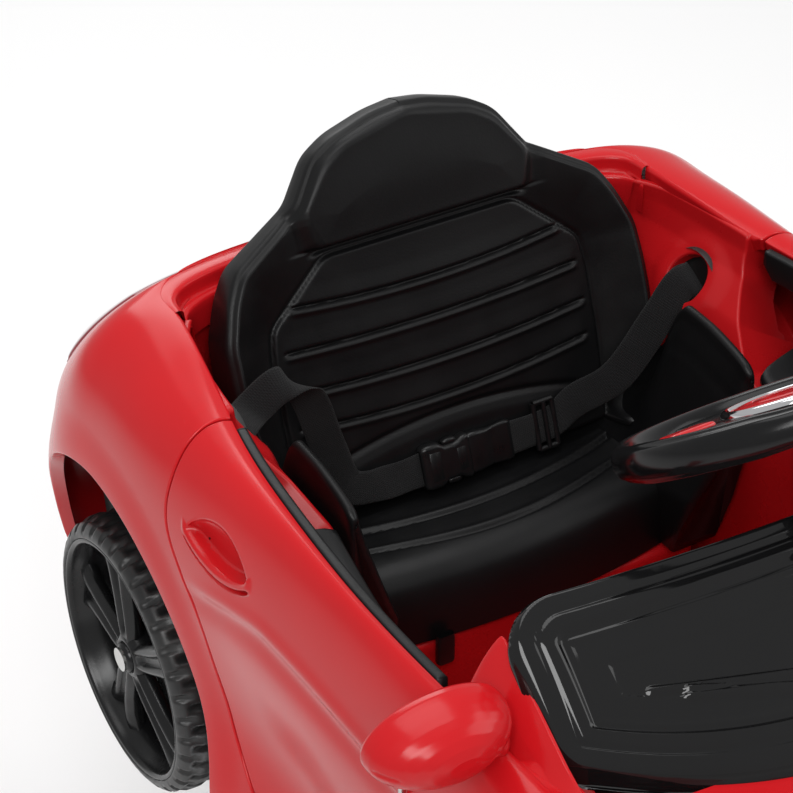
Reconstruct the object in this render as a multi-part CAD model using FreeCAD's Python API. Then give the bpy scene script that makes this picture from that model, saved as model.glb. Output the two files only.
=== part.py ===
import FreeCAD, Part
import os, math

os.makedirs("parts", exist_ok=True)

# ---------------------------------------------------------------- driving dimensions (mm)
COL_F = 240.0        # distance of the column axis ahead of the seat bight
LIFT_Z = 280.0       # height of the car's wheel-bottom plane above the floor, chair lowered
WALL = 3.5           # moulded wall of the body skins
WHEEL_R = 105.0      # wheel radius
WHEEL_W = 58.0       # wheel width
WHEEL_FACE = 258.0   # half width over the wheel faces
REAR_F, FRONT_F = -53.0, 570.0     # axle stations ahead of the seat bight
ARCH_R = 150.0       # front wheel arch radius
RECLINE = 20.0       # seat back recline, degrees
BIGHT_Z = 202.0      # height of the seat bight above the wheel bottoms
STEER_F, STEER_Z = 337.0, 478.0    # steering wheel centre
STEER_R = 109.0      # outer radius of the steering wheel
STEER_TILT = 37.5    # tilt of the steering wheel, degrees from level
STEER_TUBE = 8.5     # rim tube radius of the steering wheel
BASE_R = 290.0       # base disc radius
PUMP_R = 74.0        # pump housing radius
SLEEVE_R = 47.0      # guide sleeve radius
PISTON_R = 32.0      # piston radius
LIFT_TRAVEL = 140.0  # piston travel
HINGE_X, HINGE_F = 255.5, 338.0    # door hinge axis
KING_X = 178.0       # kingpin half track
GAP = 0.4            # clearance between neighbouring bodies

V = FreeCAD.Vector


def P(x, f, z):
    """Point from (left, forward of bight, above wheel bottoms) to the chair's frame."""
    return V(x, COL_F - f, z + LIFT_Z)


def save(shape, name):
    if not shape.isValid():
        shape = shape.removeSplitter()
    print(name, shape.isValid(), len(shape.Solids), round(shape.Volume / 1000.0, 2))
    shape.exportStep("parts/" + name + ".step")


def mirror_x(shape):
    return shape.mirror(V(0, 0, 0), V(1, 0, 0))


# ---------------------------------------------------------------- tensor spline
def span_basis(u, knots, n, p=3):
    if u >= knots[n]:
        k = n - 1
    else:
        k = p
        while not (knots[k] <= u < knots[k + 1]):
            k += 1
    left, right, b = [0.0] * (p + 1), [0.0] * (p + 1), [1.0] + [0.0] * p
    for j in range(1, p + 1):
        left[j] = u - knots[k + 1 - j]
        right[j] = knots[k + j] - u
        saved = 0.0
        for r in range(j):
            t = b[r] / (right[r + 1] + left[j - r])
            b[r] = saved + right[r + 1] * t
            saved = left[j - r] * t
        b[j] = saved
    return k - p, b


def knot_vector(par, p=3):
    n = len(par)
    k = [par[0]] * (p + 1)
    for j in range(1, n - p):
        k.append(sum(par[j:j + p]) / p)
    return k + [par[-1]] * (p + 1)


def invert(a):
    n = len(a)
    m = [row[:] + [1.0 if i == j else 0.0 for j in range(n)] for i, row in enumerate(a)]
    for c in range(n):
        piv = max(range(c, n), key=lambda r: abs(m[r][c]))
        m[c], m[piv] = m[piv], m[c]
        d = m[c][c]
        m[c] = [v / d for v in m[c]]
        for r in range(n):
            if r != c and m[r][c] != 0.0:
                f = m[r][c]
                m[r] = [v - f * w for v, w in zip(m[r], m[c])]
    return [row[n:] for row in m]


def colloc(par, knots):
    n = len(par)
    a = []
    for u in par:
        s, b = span_basis(u, knots, n)
        row = [0.0] * n
        for i, w in enumerate(b):
            row[s + i] = w
        a.append(row)
    return a


class Tensor:
    """Cubic surface through a grid of points, grid[i][j] at (pu[i], pv[j])."""

    def __init__(self, grid, pu, pv):
        self.nu, self.nv = len(pu), len(pv)
        self.ku, self.kv = knot_vector(pu), knot_vector(pv)
        iu, iv = invert(colloc(pu, self.ku)), invert(colloc(pv, self.kv))
        tmp = [[[sum(iu[i][k] * grid[k][j][c] for k in range(self.nu)) for c in range(3)]
                for j in range(self.nv)] for i in range(self.nu)]
        self.poles = [[[sum(iv[j][k] * tmp[i][k][c] for k in range(self.nv)) for c in range(3)]
                       for j in range(self.nv)] for i in range(self.nu)]

    def at(self, u, v):
        su, bu = span_basis(u, self.ku, self.nu)
        sv, bv = span_basis(v, self.kv, self.nv)
        q = [0.0, 0.0, 0.0]
        for i, a in enumerate(bu):
            row = self.poles[su + i]
            for j, b in enumerate(bv):
                w = a * b
                pt = row[sv + j]
                q[0] += w * pt[0]
                q[1] += w * pt[1]
                q[2] += w * pt[2]
        return q

    def normal(self, u, v, e=1e-3):
        u0, u1 = max(self.ku[0], u - e), min(self.ku[-1], u + e)
        v0, v1 = max(self.kv[0], v - e), min(self.kv[-1], v + e)
        a, b = self.at(u0, v), self.at(u1, v)
        c, d = self.at(u, v0), self.at(u, v1)
        du = V(b[0] - a[0], b[1] - a[1], b[2] - a[2])
        dv = V(d[0] - c[0], d[1] - c[1], d[2] - c[2])
        n = du.cross(dv)
        n.normalize()
        return n

    def face_surface(self):
        s = Part.BSplineSurface()
        vec = [[P(*q) for q in row] for row in self.poles]

        def compress(k):
            ks, ms = [], []
            for x in k:
                if ks and abs(ks[-1] - x) < 1e-12:
                    ms[-1] += 1
                else:
                    ks.append(x)
                    ms.append(1)
            return ks, ms
        uk, um = compress(self.ku)
        vk, vm = compress(self.kv)
        s.buildFromPolesMultsKnots(vec, um, vm, uk, vk, False, False, 3, 3)
        return s


def chord(points):
    d = [0.0]
    for a, b in zip(points, points[1:]):
        d.append(d[-1] + math.dist(a, b))
    return [x / d[-1] for x in d]


def grid_tensor(grid):
    nu, nv = len(grid), len(grid[0])
    pu = chord([row[nv // 2] for row in grid])
    pv = chord(grid[nu // 2])
    return Tensor(grid, pu, pv)


def thick(point_normal, nu, nv, out, inn):
    """Closed solid between two offsets of a surface given on the unit square."""
    g_out, g_in = [], []
    for i in range(nu):
        ro, ri = [], []
        for j in range(nv):
            q, n = point_normal(i / (nu - 1), j / (nv - 1))
            ro.append([q[0] + n[0] * out, q[1] + n[1] * out, q[2] + n[2] * out])
            ri.append([q[0] - n[0] * inn, q[1] - n[1] * inn, q[2] - n[2] * inn])
        g_out.append(ro)
        g_in.append(ri)
    pu = [i / (nu - 1) for i in range(nu)]
    pv = [j / (nv - 1) for j in range(nv)]
    so = Tensor(g_out, pu, pv).face_surface()
    si = Tensor(g_in, pu, pv).face_surface()
    faces = [so.toShape(), si.toShape()]
    for k in (0.0, 1.0):
        faces.append(Part.makeRuledSurface(so.uIso(k).toShape(), si.uIso(k).toShape()))
        faces.append(Part.makeRuledSurface(so.vIso(k).toShape(), si.vIso(k).toShape()))
    shell = Part.Shell(sum([f.Faces for f in faces], []))
    shell.sewShape()
    if len(shell.Shells) if hasattr(shell, "Shells") else False:
        shell = shell.Shells[0]
    solid = Part.Solid(shell)
    if solid.Volume < 0:
        solid.reverse()
    fix = solid.copy()
    fix.fix(0.01, 0.01, 0.01)
    return fix if fix.Volume > 0 else solid


def lin(xs, ys, x):
    """Monotone cubic through a table."""
    n = len(xs)
    if x <= xs[0]:
        return ys[0]
    if x >= xs[-1]:
        return ys[-1]
    h = [xs[i + 1] - xs[i] for i in range(n - 1)]
    d = [(ys[i + 1] - ys[i]) / h[i] for i in range(n - 1)]
    m = [d[0]] + [0.0 if d[i - 1] * d[i] <= 0 else
                  3 * (h[i - 1] + h[i]) / ((2 * h[i] + h[i - 1]) / d[i - 1] + (h[i] + 2 * h[i - 1]) / d[i])
                  for i in range(1, n - 1)] + [d[-1]]
    for i in range(n - 1):
        if x <= xs[i + 1]:
            t = (x - xs[i]) / h[i]
            return ((1 + 2 * t) * (1 - t) ** 2 * ys[i] + t * (1 - t) ** 2 * h[i] * m[i]
                    + t * t * (3 - 2 * t) * ys[i + 1] + t * t * (t - 1) * h[i] * m[i + 1])


# ---------------------------------------------------------------- car body side surface
SIDE_F = [-60, -15, 30, 80, 150, 240, 330, 400, 460, 515, 570, 620, 650]
# rings from the bottom edge to the crest: half widths and heights along SIDE_F
RING_X = [
    [262, 262, 261, 258, 254, 252, 253, 255, 258, 261, 262, 260, 257],
    [268, 268, 267, 265, 262, 260, 260, 262, 265, 268, 268, 266, 262],
    [269, 269, 267, 263, 258, 256, 257, 261, 266, 269, 270, 268, 264],
    [268, 267, 264, 256, 246, 243, 250, 257, 264, 269, 270, 268, 264],
    [268, 267, 264, 257, 249, 246, 251, 256, 263, 268, 270, 267, 262],
    [268, 267, 265, 261, 257, 254, 252, 255, 261, 266, 268, 264, 258],
    [264, 264, 263, 261, 258, 255, 252, 253, 257, 261, 262, 257, 249],
    [256, 257, 257, 255, 252, 249, 247, 247, 248, 249, 248, 241, 232],
    [234, 237, 240, 242, 242, 241, 239, 237, 234, 230, 226, 218, 208],
    [194, 200, 207, 216, 224, 229, 227, 221, 214, 206, 198, 188, 178],
]
RING_Z = [
    [62] * 13,
    [84] * 13,
    [118] * 13,
    [165] * 13,
    [213, 213, 213, 213, 213, 213, 213, 213, 213, 212, 210, 206, 203],
    [262, 262, 262, 262, 260, 258, 257, 256, 256, 255, 252, 244, 238],
    [305, 305, 304, 302, 300, 298, 297, 296, 294, 291, 286, 275, 266],
    [341, 341, 339, 337, 336, 335, 334, 333, 330, 325, 317, 303, 290],
    [366, 365, 363, 361, 360, 359, 358, 356, 352, 346, 337, 321, 306],
    [378, 375, 370, 367, 366, 366, 366, 363, 357, 350, 341, 325, 310],
]
REAR_END = [-238, -250, -258, -260, -250, -225, -187, -145, -117, -112]
REAR_N = [2.8] * 6 + [3.0, 3.1, 3.7, 4.0]
REAR_Z = [66, 95, 140, 190, 238, 284, 322, 352, 371, 378]
NOSE_END = [776, 792, 800, 803, 801, 796, 789, 779, 769, 760]
NOSE_Z = [62, 84, 112, 142, 168, 192, 211, 226, 236, 241]
REAR_PHI = [0, 18, 35, 50, 63, 74, 83]
NOSE_PHI = [83, 74, 63, 50, 35, 18, 0]


def ring_half(k):
    """Half ring k from the rear centre along the +X side to the nose centre."""
    pts = []
    n = REAR_N[k]
    w0, z0 = RING_X[k][0], RING_Z[k][0]
    fc = SIDE_F[0]
    for ph in REAR_PHI:
        s, c = math.sin(math.radians(ph)), math.cos(math.radians(ph))
        x = w0 * (s ** (2 / n) if s > 0 else 0.0)
        f = fc - (fc - REAR_END[k]) * (c ** (2 / n))
        t = s * s
        t = t * t * (3 - 2 * t) * 0.5 + t * 0.5
        pts.append([x, f, REAR_Z[k] + (z0 - REAR_Z[k]) * t])
    for f, x, z in zip(SIDE_F, RING_X[k], RING_Z[k]):
        pts.append([x, f, z])
    n = 2.5
    w1, z1, fc = RING_X[k][-1], RING_Z[k][-1], SIDE_F[-1]
    for ph in NOSE_PHI:
        s, c = math.sin(math.radians(ph)), math.cos(math.radians(ph))
        x = w1 * (s ** (2 / n) if s > 0 else 0.0)
        f = fc + (NOSE_END[k] - fc) * (c ** (2 / n))
        t = s * s
        pts.append([x, f, NOSE_Z[k] + (z1 - NOSE_Z[k]) * t])
    return pts


def full_ring(k):
    half = ring_half(k)
    other = [[-q[0], q[1], q[2]] for q in half[1:-1]][::-1]
    loop = half + other                      # rear centre, +X side, nose, -X side
    m = len(loop)
    ext = 14
    return [loop[(i - ext) % m] for i in range(m + 2 * ext + 1)], ext, m


RINGS = [full_ring(k) for k in range(10)]
EXT, LOOP_N = RINGS[0][1], RINGS[0][2]
GRID = [[RINGS[k][0][i] for k in range(10)] for i in range(len(RINGS[0][0]))]
PU = chord([row[5] for row in GRID])
PV = chord(GRID[EXT + 7])
BODY = Tensor(GRID, PU, PV)
U_REAR, U_END = PU[EXT], PU[EXT + LOOP_N]    # one turn of the loop


def u_at(index):
    """Loop parameter at a fractional index of the ring's points."""
    i = int(math.floor(index))
    t = index - i
    return PU[EXT + i] * (1 - t) + PU[EXT + i + 1] * t if t else PU[EXT + i]


NR = len(REAR_PHI)


def u_side(f):
    """Loop parameter on the +X side at station f."""
    for i in range(len(SIDE_F) - 1):
        if SIDE_F[i] <= f <= SIDE_F[i + 1]:
            return u_at(NR + i + (f - SIDE_F[i]) / (SIDE_F[i + 1] - SIDE_F[i]))
    raise ValueError(f)


def side_pn(u0, u1, v0, v1):
    def fn(a, b):
        u, v = u0 + (u1 - u0) * a, v0 + (v1 - v0) * b
        n = BODY.normal(u, v)
        q = BODY.at(u, v)
        return q, (n[0], n[1], n[2])
    return fn


# sign so that the normal points out of the body
_q, _n = side_pn(u_side(150), u_side(151), 0.5, 0.6)(0, 0)
FLIP = 1.0 if _n[0] > 0 else -1.0


def body_patch(u0, u1, v0, v1, nu, nv, out=0.0, inn=WALL):
    base = side_pn(u0, u1, v0, v1)

    def fn(a, b):
        q, n = base(a, b)
        return q, (n[0] * FLIP, n[1] * FLIP, n[2] * FLIP)
    return thick(fn, nu, nv, out, inn)


def prism(points, x0, x1):
    """Prism along X of a side-view outline given as (forward, up) points."""
    w = Part.makePolygon([P(x0, f, z) for f, z in points] + [P(x0, *points[0])])
    return Part.Face(w).extrude(V(x1 - x0, 0, 0))


def plate(points, z0, z1):
    """Vertical prism of a plan outline given as (x, forward) points."""
    w = Part.makePolygon([P(x, f, z0) for x, f in points] + [P(points[0][0], points[0][1], z0)])
    return Part.Face(w).extrude(V(0, 0, z1 - z0))


def cyl_x(x0, x1, f, z, r):
    return Part.makeCylinder(r, x1 - x0, P(x0, f, z), V(1, 0, 0))


def box(x0, x1, f0, f1, z0, z1):
    return Part.makeBox(x1 - x0, f1 - f0, z1 - z0, V(x0, COL_F - f1, z0 + LIFT_Z))


def loft(sections, ruled=True):
    wires = [Part.makePolygon([P(*q) for q in s] + [P(*s[0])]) for s in sections]
    return Part.makeLoft(wires, True, ruled)


def fuse(*parts):
    s = parts[0]
    for p in parts[1:]:
        s = s.fuse(p)
    return s.removeSplitter()


def u_of_f(f):
    """Loop parameter where the +X side crosses station f."""
    lo, hi = u_at(EXT_I(0)), PU[EXT + LOOP_N // 2]
    for _ in range(60):
        mid = (lo + hi) / 2
        if BODY.at(mid, 0.5)[1] < f:
            lo = mid
        else:
            hi = mid
    return (lo + hi) / 2


def EXT_I(i):
    return NR + i


# ---------------------------------------------------------------- door outline (side view)
DOOR_REAR = [(54, 385), (58, 345), (56, 316), (60, 299), (76, 279), (94, 250), (103, 212), (117, 168), (131, 150)]
DOOR_BOTTOM = [(150, 135), (240, 130), (325, 132)]
DOOR_FRONT = [(350, 134), (350, 385)]
DOOR = DOOR_REAR + DOOR_BOTTOM + DOOR_FRONT
DOOR_F = 336.8       # front edge of the door skin
BODY_F = 338.4       # rear edge of the front skin


def offset_poly(pts, d):
    """Offset of a closed outline, positive outward."""
    n = len(pts)
    out = []
    for i in range(n):
        (x0, y0), (x1, y1), (x2, y2) = pts[i - 1], pts[i], pts[(i + 1) % n]
        ax, ay = x1 - x0, y1 - y0
        bx, by = x2 - x1, y2 - y1
        la, lb = math.hypot(ax, ay), math.hypot(bx, by)
        n1, n2 = (ay / la, -ax / la), (by / lb, -bx / lb)
        mx, my = n1[0] + n2[0], n1[1] + n2[1]
        k = 2.0 / (mx * mx + my * my)
        out.append((x1 - d * mx * k, y1 - d * my * k) if AREA_SIGN > 0 else (x1 + d * mx * k, y1 + d * my * k))
    return out


AREA_SIGN = -1 if sum(a[0] * b[1] - b[0] * a[1] for a, b in zip(DOOR, DOOR[1:] + DOOR[:1])) > 0 else 1
door_in, door_out = offset_poly(DOOR, -0.9), offset_poly(DOOR, 0.9)

# ---------------------------------------------------------------- body skins
U_MID = PU[EXT + LOOP_N // 2]
U_R = u_of_f(170.0)
rear = body_patch(2 * U_REAR - U_R, U_R, 0.0, 1.0, 45, 13)
# rear wheel arch in side view: higher than it is long
ARCH_PTS = [(113, 40), (104, 115), (93, 146), (85, 168), (75, 196), (61, 228), (41, 254), (12, 271), (-22, 280), (-52, 281), (-84, 273), (-114, 255),
            (-138, 233), (-160, 205), (-178, 172), (-190, 130), (-196, 90), (-198, 40)]
arch_rear = prism(ARCH_PTS, -320, 320)
arch_front = cyl_x(-320, 320, FRONT_F, WHEEL_R, ARCH_R)
door_cut = prism(door_out, -320, 320)
rear = rear.cut(arch_rear)
rear = rear.cut(door_cut)
sill = body_patch(u_of_f(169.6), u_of_f(337.2), 0.0, 0.36, 10, 6).cut(prism(door_out, 0, 320))
U_F = u_of_f(BODY_F)
front = body_patch(U_F, 2 * U_MID - U_F, 0.0, 1.0, 45, 13)
front = front.cut(arch_front)


def lip_curve(w, fr, fc, n=2.8, m=24, a=86):
    pts = []
    for i in range(m + 1):
        ph = math.radians(-a + 2 * a * i / m)
        s, c = math.sin(ph), math.cos(ph)
        pts.append((math.copysign(abs(s) ** (2 / n), s) * w, fc - (fc - fr) * abs(c) ** (2 / n)))
    return pts


# tail lip: a raised band across the tail, a step in front of it and a ledge behind the seat
lip_o = lip_curve(192.4, -110.1, -60.0, 4.0)
lip_i = lip_curve(187.0, -97.4, -54.0, 3.8)
ledge_i = lip_curve(184.0, -92.5, -30.0)
band = plate(lip_o + lip_i[::-1], 364, 376.7)
ledge = plate(lip_o + ledge_i[::-1], 363.5, 367.0)
lipsolid = band.fuse(ledge).removeSplitter()
body_rear = rear.fuse([lipsolid, sill, mirror_x(sill)])
print("rear", rear.isValid(), "fused", body_rear.isValid(), len(body_rear.Solids))


def crest_front(f):
    """Crest point (x, z) of the +X side at station f."""
    lo, hi = U_F, U_MID
    for _ in range(50):
        mid = (lo + hi) / 2
        if BODY.at(mid, 1.0)[1] < f:
            lo = mid
        else:
            hi = mid
    q = BODY.at((lo + hi) / 2, 1.0)
    return q[0], q[2]


# hood between the crests, from the scuttle to the nose
CREST_F = [338.6, 380, 420, 470, 520, 570, 620, 660, 700, 735, 757.5]
HOOD_MID = [336, 336, 336, 337, 330, 320, 306, 292, 273, 253, 241.2]
CREST_XZ = [crest_front(f) for f in CREST_F]


def hood_pn(a, b):
    f = CREST_F[0] + (CREST_F[-1] - CREST_F[0]) * a
    xc, zc = crest_front(f)
    zm = lin(CREST_F, HOOD_MID, f)
    t = -1 + 2 * b
    return [t * (xc + 0.9), f, zm + (zc - 0.9 - zm) * abs(t) ** 2.2], (0.0, 0.0, 1.0)


hood = thick(hood_pn, 24, 15, 0.0, WALL)


def screen_pt(a, b):
    """Screen surface, a across (-1..1), b from the rear top edge (0) to the front edge (1)."""
    x = 203.0 * a
    ft = 362.0 - 14.0 * abs(a) ** 1.6
    fb = 474.0 - 62.0 * abs(a) ** 2.4
    f = ft + (fb - ft) * b
    z = 420.0 + 1.5 * abs(a) ** 2 - (80.0 - 14.0 * abs(a) ** 3) * b + 5.0 * math.sin(math.pi * b)
    return [x, f, z]


def surf_normal(fn, a, b, e=1e-3):
    p0, p1 = fn(a - e, b), fn(a + e, b)
    q0, q1 = fn(a, b - e), fn(a, b + e)
    du = V(*[p1[i] - p0[i] for i in range(3)])
    dv = V(*[q1[i] - q0[i] for i in range(3)])
    n = du.cross(dv)
    n.normalize()
    return n if n[2] > 0 else n * -1


def screen_pn(a, b):
    s = -0.985 + 1.97 * a
    n = surf_normal(screen_pt, s, min(max(b, 0.002), 0.998))
    return screen_pt(s, b), (n[0], n[1], n[2])


screen = thick(screen_pn, 25, 9, 4.0, 0.0)
pillar = loft([
    [(202.0, 343, 330), (202.0, 349, 417), (202.0, 357, 417), (202.0, 420, 372), (202.0, 446, 352), (202.0, 446, 330)],
    [(222, 343, 330), (222, 346, 366), (222, 352, 366), (222, 400, 360), (222, 446, 346), (222, 446, 330)],
])
hood_open = prism([(300, 300), (300, 480), (352, 480), (472, 334), (472, 300)], -202.5, 202.5)
hood = hood.cut(hood_open)
body_front = front.fuse([hood, pillar, mirror_x(pillar)])
print("front", front.isValid(), "hood", hood.isValid(), "fused", body_front.isValid(), len(body_front.Solids))

# ---------------------------------------------------------------- cockpit tub
def tub_ring(w, fr, ff, c, z):
    return [(-w, fr + c, z), (-w + c, fr, z), (w - c, fr, z), (w, fr + c, z),
            (w, ff - c, z), (w - c, ff, z), (-w + c, ff, z), (-w, ff - c, z)]


tub_o = loft([tub_ring(166, -80, 436, 30, 84), tub_ring(170, -93, 438, 30, 300)])
tub_u = loft([tub_ring(170, -93, 341, 30, 299), tub_ring(198, -95, 341, 40, 362)])
tub_oi = loft([tub_ring(162.5, -76.5, 432.5, 28, 87.5), tub_ring(166.5, -89.5, 434.5, 28, 300)])
tub_ui = loft([tub_ring(166.5, -89.5, 350, 28, 299), tub_ring(194.5, -91.5, 350, 38, 362)])
tub_o = tub_o.cut(box(-200, 200, -120, -30, 80, 125))
tub_oi = tub_oi.cut(box(-200, 200, -120, -26.5, 80, 128.5))
tub = tub_o.fuse(tub_u).cut(tub_oi).cut(tub_ui).cut(box(-162, 162, 330, 442, 296, 365))
jamb = [(43, 380), (45, 350), (55, 335), (70, 320), (95, 300), (130, 280), (180, 262), (290, 258), (318, 272), (333, 300), (337, 380)]
tub = tub.cut(prism(jamb, -260, 260))
# threshold flanges run out from the tub wall to the doors along the opening's edge
def mitre(pts, d):
    """Polyline moved sideways by d, with mitred corners."""
    out = []
    for i, (f, z) in enumerate(pts):
        ns = []
        for a, b in ((i - 1, i), (i, i + 1)):
            if a >= 0 and b < len(pts):
                l = math.dist(pts[a], pts[b])
                ns.append(((pts[b][1] - pts[a][1]) / l, -(pts[b][0] - pts[a][0]) / l))
        mx, my = sum(n[0] for n in ns), sum(n[1] for n in ns)
        k = d * len(ns) / (mx * mx + my * my)
        out.append((f + mx * k, z + my * k))
    return out


edge = jamb[1:-1]
flange = prism(edge + mitre(edge, 3.0)[::-1], 160, 236).cut(tub_oi).cut(tub_ui).cut(box(228, 240, 0, 200, 325, 400))
tub = tub.fuse([flange, mirror_x(flange)])
tub = tub.removeSplitter()
seat_step = box(-150, 150, -40, 92, 86, 150).cut(box(-146, 146, -36, 88, 80, 146))
tub = tub.fuse(seat_step)
for s in (-1, 1):
    tub = tub.cut(Part.makeCylinder(22, 60, P(s * 150, 13, 322), V(s, 0, 0)))
steer_dir = V(0, -math.sin(math.radians(STEER_TILT)), -math.cos(math.radians(STEER_TILT)))
steer_top = P(0, STEER_F, STEER_Z)
tub = tub.cut(Part.makeCylinder(9.0, 620, steer_top, steer_dir)).removeSplitter()

# ---------------------------------------------------------------- chassis tray
ch_out = [(-186, -165), (-150, -218), (150, -218), (186, -165), (186, 440), (132, 452), (132, 690), (150, 722), (150, 750),
          (-150, 750), (-150, 722), (-132, 690), (-132, 452), (-186, 440)]
ch_in = [(-181, -163), (-147, -213), (147, -213), (181, -163), (181, 436), (127, 449), (127, 687), (145, 720), (145, 745),
         (-145, 745), (-145, 720), (-127, 687), (-127, 449), (-181, 436)]
chassis = plate(ch_out, 70, 106).cut(plate(ch_in, 76, 120)).cut(box(-200, 200, -90, 446, 83.5, 130))
ears = [box(s * 179 - 7, s * 179 + 7, -72, -34, 72, 122) for s in (-1, 1)]
chassis = chassis.fuse(ears)
beam = box(-196, 196, 556, 584, 71, 92).fuse([
    box(-196, -112, 556, 584, 120, 132), box(112, 196, 556, 584, 120, 132),
    box(-132, -112, 556, 584, 90, 122), box(112, 132, 556, 584, 90, 122),
    box(-14, 14, 556, 600, 76, 176)])
chassis = chassis.fuse(beam).removeSplitter()
chassis = chassis.cut(box(-200, 200, 516, 543, 98, 130)).cut(cyl_x(-190, 190, REAR_F, WHEEL_R, 5.06))
for s in (-1, 1):
    chassis = chassis.cut(Part.makeCylinder(5.06, 80, P(s * KING_X, FRONT_F, 66), V(0, 0, 1)))
chassis = chassis.cut(Part.makeCylinder(5.06, 620, steer_top, steer_dir))
chassis = chassis.cut(Part.makeCylinder(9.0, 24, P(0, 645, 66), V(0, 0, 1)))
for sx in (-1, 1):
    for sf in (-1, 1):
        chassis = chassis.cut(Part.makeCylinder(4.2, 30, P(sx * 80, COL_F + sf * 80, 60), V(0, 0, 1)))

# ---------------------------------------------------------------- seat
def rot_back(x, d, h):
    """Point on the seat back: d ahead of the back plane, h up along it."""
    r = math.radians(RECLINE)
    return (x, -h * math.sin(r) + d * math.cos(r), BIGHT_Z + h * math.cos(r) + d * math.sin(r))


def back_plate(outline, d0, d1):
    return loft([[rot_back(x, d0, h) for x, h in outline], [rot_back(x, d1, h) for x, h in outline]])


back_outline = [(-150, 10), (-158, 60), (-158, 138), (-148, 190), (-100, 222), (-66, 258), (-42, 272), (0, 279),
                (42, 272), (66, 258), (100, 222), (148, 190), (158, 138), (158, 60), (150, 10)]
back_core = back_plate(back_outline, -14, -2)
head_pad = back_plate([(-84, 199), (-92, 222), (-62, 258), (-40, 270), (0, 277), (40, 270), (62, 258), (92, 222), (84, 199)], -6, 12)
panel = back_plate([(-80, 191), (-129, 154), (-131, 118), (-100, 40), (-98, 12), (98, 12), (100, 40), (131, 118), (129, 154), (80, 191)], -6, 3)
wing = loft([[rot_back(x, d, h) for x, d in sec] for h, sec in (
    (12, [(132, -12), (150, -12), (156, 34), (147, 34), (134, 4)]),
    (138, [(136, -12), (158, -12), (163, 22), (156, 24), (138, 4)]),
    (186, [(130, -12), (147, -12), (149, 12), (144, 13), (132, 4)]))])
cushion = prism([(-12, 156), (-20, 205), (4, 203), (30, 206), (72, 207), (88, 203), (96, 194), (99, 180), (99, 150.3), (0, 150.3)], -140, 140)
side_bol = loft([[(x, f, z) for x, z in sec] for f, sec in (
    (-16, [(128, 156), (157, 156), (160, 256), (152, 254), (128, 204)]),
    (14, [(128, 153), (158, 153), (162, 272), (154, 270), (128, 205)]),
    (27, [(128, 152), (158, 152), (162, 289), (155, 287), (128, 206)]),
    (37, [(128, 152), (158, 152), (163, 319), (157, 318), (128, 206)]),
    (60, [(128, 152), (158, 152), (163, 325), (157, 324), (128, 206)]),
    (96, [(128, 151), (158, 151), (163, 320), (157, 319), (128, 205)]),
    (120, [(128, 151), (158, 151), (163, 313), (157, 311), (128, 202)]))])
side_bol = side_bol.cut(prism([(125, 250), (118, 232), (108, 195), (99, 170), (96, 149), (130, 149), (130, 250)], 120, 170))
cushion = cushion.cut(prism([(-8, 140), (-14, 198), (28, 199), (70, 200), (84, 196), (93, 180), (93, 140)], -132, 132))
tab = box(-82, -68, 93.5, 100, 134, 160)
seat = back_core.fuse([head_pad, panel, wing, mirror_x(wing), cushion, side_bol, mirror_x(side_bol), tab]).removeSplitter()


# ---------------------------------------------------------------- belt
def strap(centre, width_dirs, w, t):
    """Flat webbing: straight runs between points, each section with its own width direction."""
    quads = []
    for i, (p, wd) in enumerate(zip(centre, width_dirs)):
        a, b = V(*centre[max(i - 1, 0)]), V(*centre[min(i + 1, len(centre) - 1)])
        d = b - a
        d.normalize()
        wv = V(*wd)
        wv = wv - d * wv.dot(d)
        wv.normalize()
        nv = d.cross(wv)
        c = V(*p)
        quads.append([tuple(c + wv * (w / 2) + nv * (t / 2)), tuple(c - wv * (w / 2) + nv * (t / 2)),
                      tuple(c - wv * (w / 2) - nv * (t / 2)), tuple(c + wv * (w / 2) - nv * (t / 2))])
    return loft(quads)


def lean(shape):
    """Lay a shape drawn at x, d, BIGHT_Z + h against the seat back."""
    c = shape.copy()
    c.rotate(P(0, 0, BIGHT_Z), V(1, 0, 0), -RECLINE)
    return c


belt_r = strap([(-186, 14, 327), (-168, -1, 325), (-148, 0, 338), (-134, -1, 332), (-121, -5, 310), (-108, -6, 268),
                rot_back(-96, 12, 30), rot_back(-66, 9.5, 22), rot_back(-38.2, 9.4, 22)],
               [(0.4, 0.7, -0.6), (0.4, 0.7, -0.6), (0.4, 0.7, -0.6), (0.6, 0.5, -0.2), (0.7, 0.3, 0.2), (0.7, 0.2, 0.3),
                (0.5, -0.1, 0.8), (0, -0.34, 0.94), (0, -0.34, 0.94)], 25, 1.6)
belt_l = strap([(186, 15, 324), (172, 15, 321), (154, 16, 300), (124, 12, 258), rot_back(96, 13, 34),
                rot_back(78, 9.6, 24), rot_back(60, 9.4, 22), rot_back(40.2, 9.4, 22)],
               [(-0.56, -0.68, 0.42), (-0.56, -0.68, 0.42), (-0.56, -0.68, 0.42), (-0.4, -0.6, 0.6), (-0.15, -0.4, 0.9),
                (0, -0.34, 0.94), (0, -0.34, 0.94), (0, -0.34, 0.94)], 25, 1.6)
Z0 = BIGHT_Z
socket = lean(box(-37, 2, 4, 14.8, Z0 + 5, Z0 + 39).cut(box(-22, 3, 6.8, 12, Z0 + 8, Z0 + 36)))
plug = lean(box(2.4, 39, 5.2, 13.6, Z0 + 7, Z0 + 37).fuse([box(-16, 3, 7.6, 11.2, Z0 + 10, Z0 + 15), box(-16, 3, 7.6, 11.2, Z0 + 29, Z0 + 34)]))
slider = lean(box(60, 78, 4.4, 14.4, Z0 + 4, Z0 + 42).cut(box(58, 80, 6.2, 12.6, Z0 + 7, Z0 + 39)))

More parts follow.
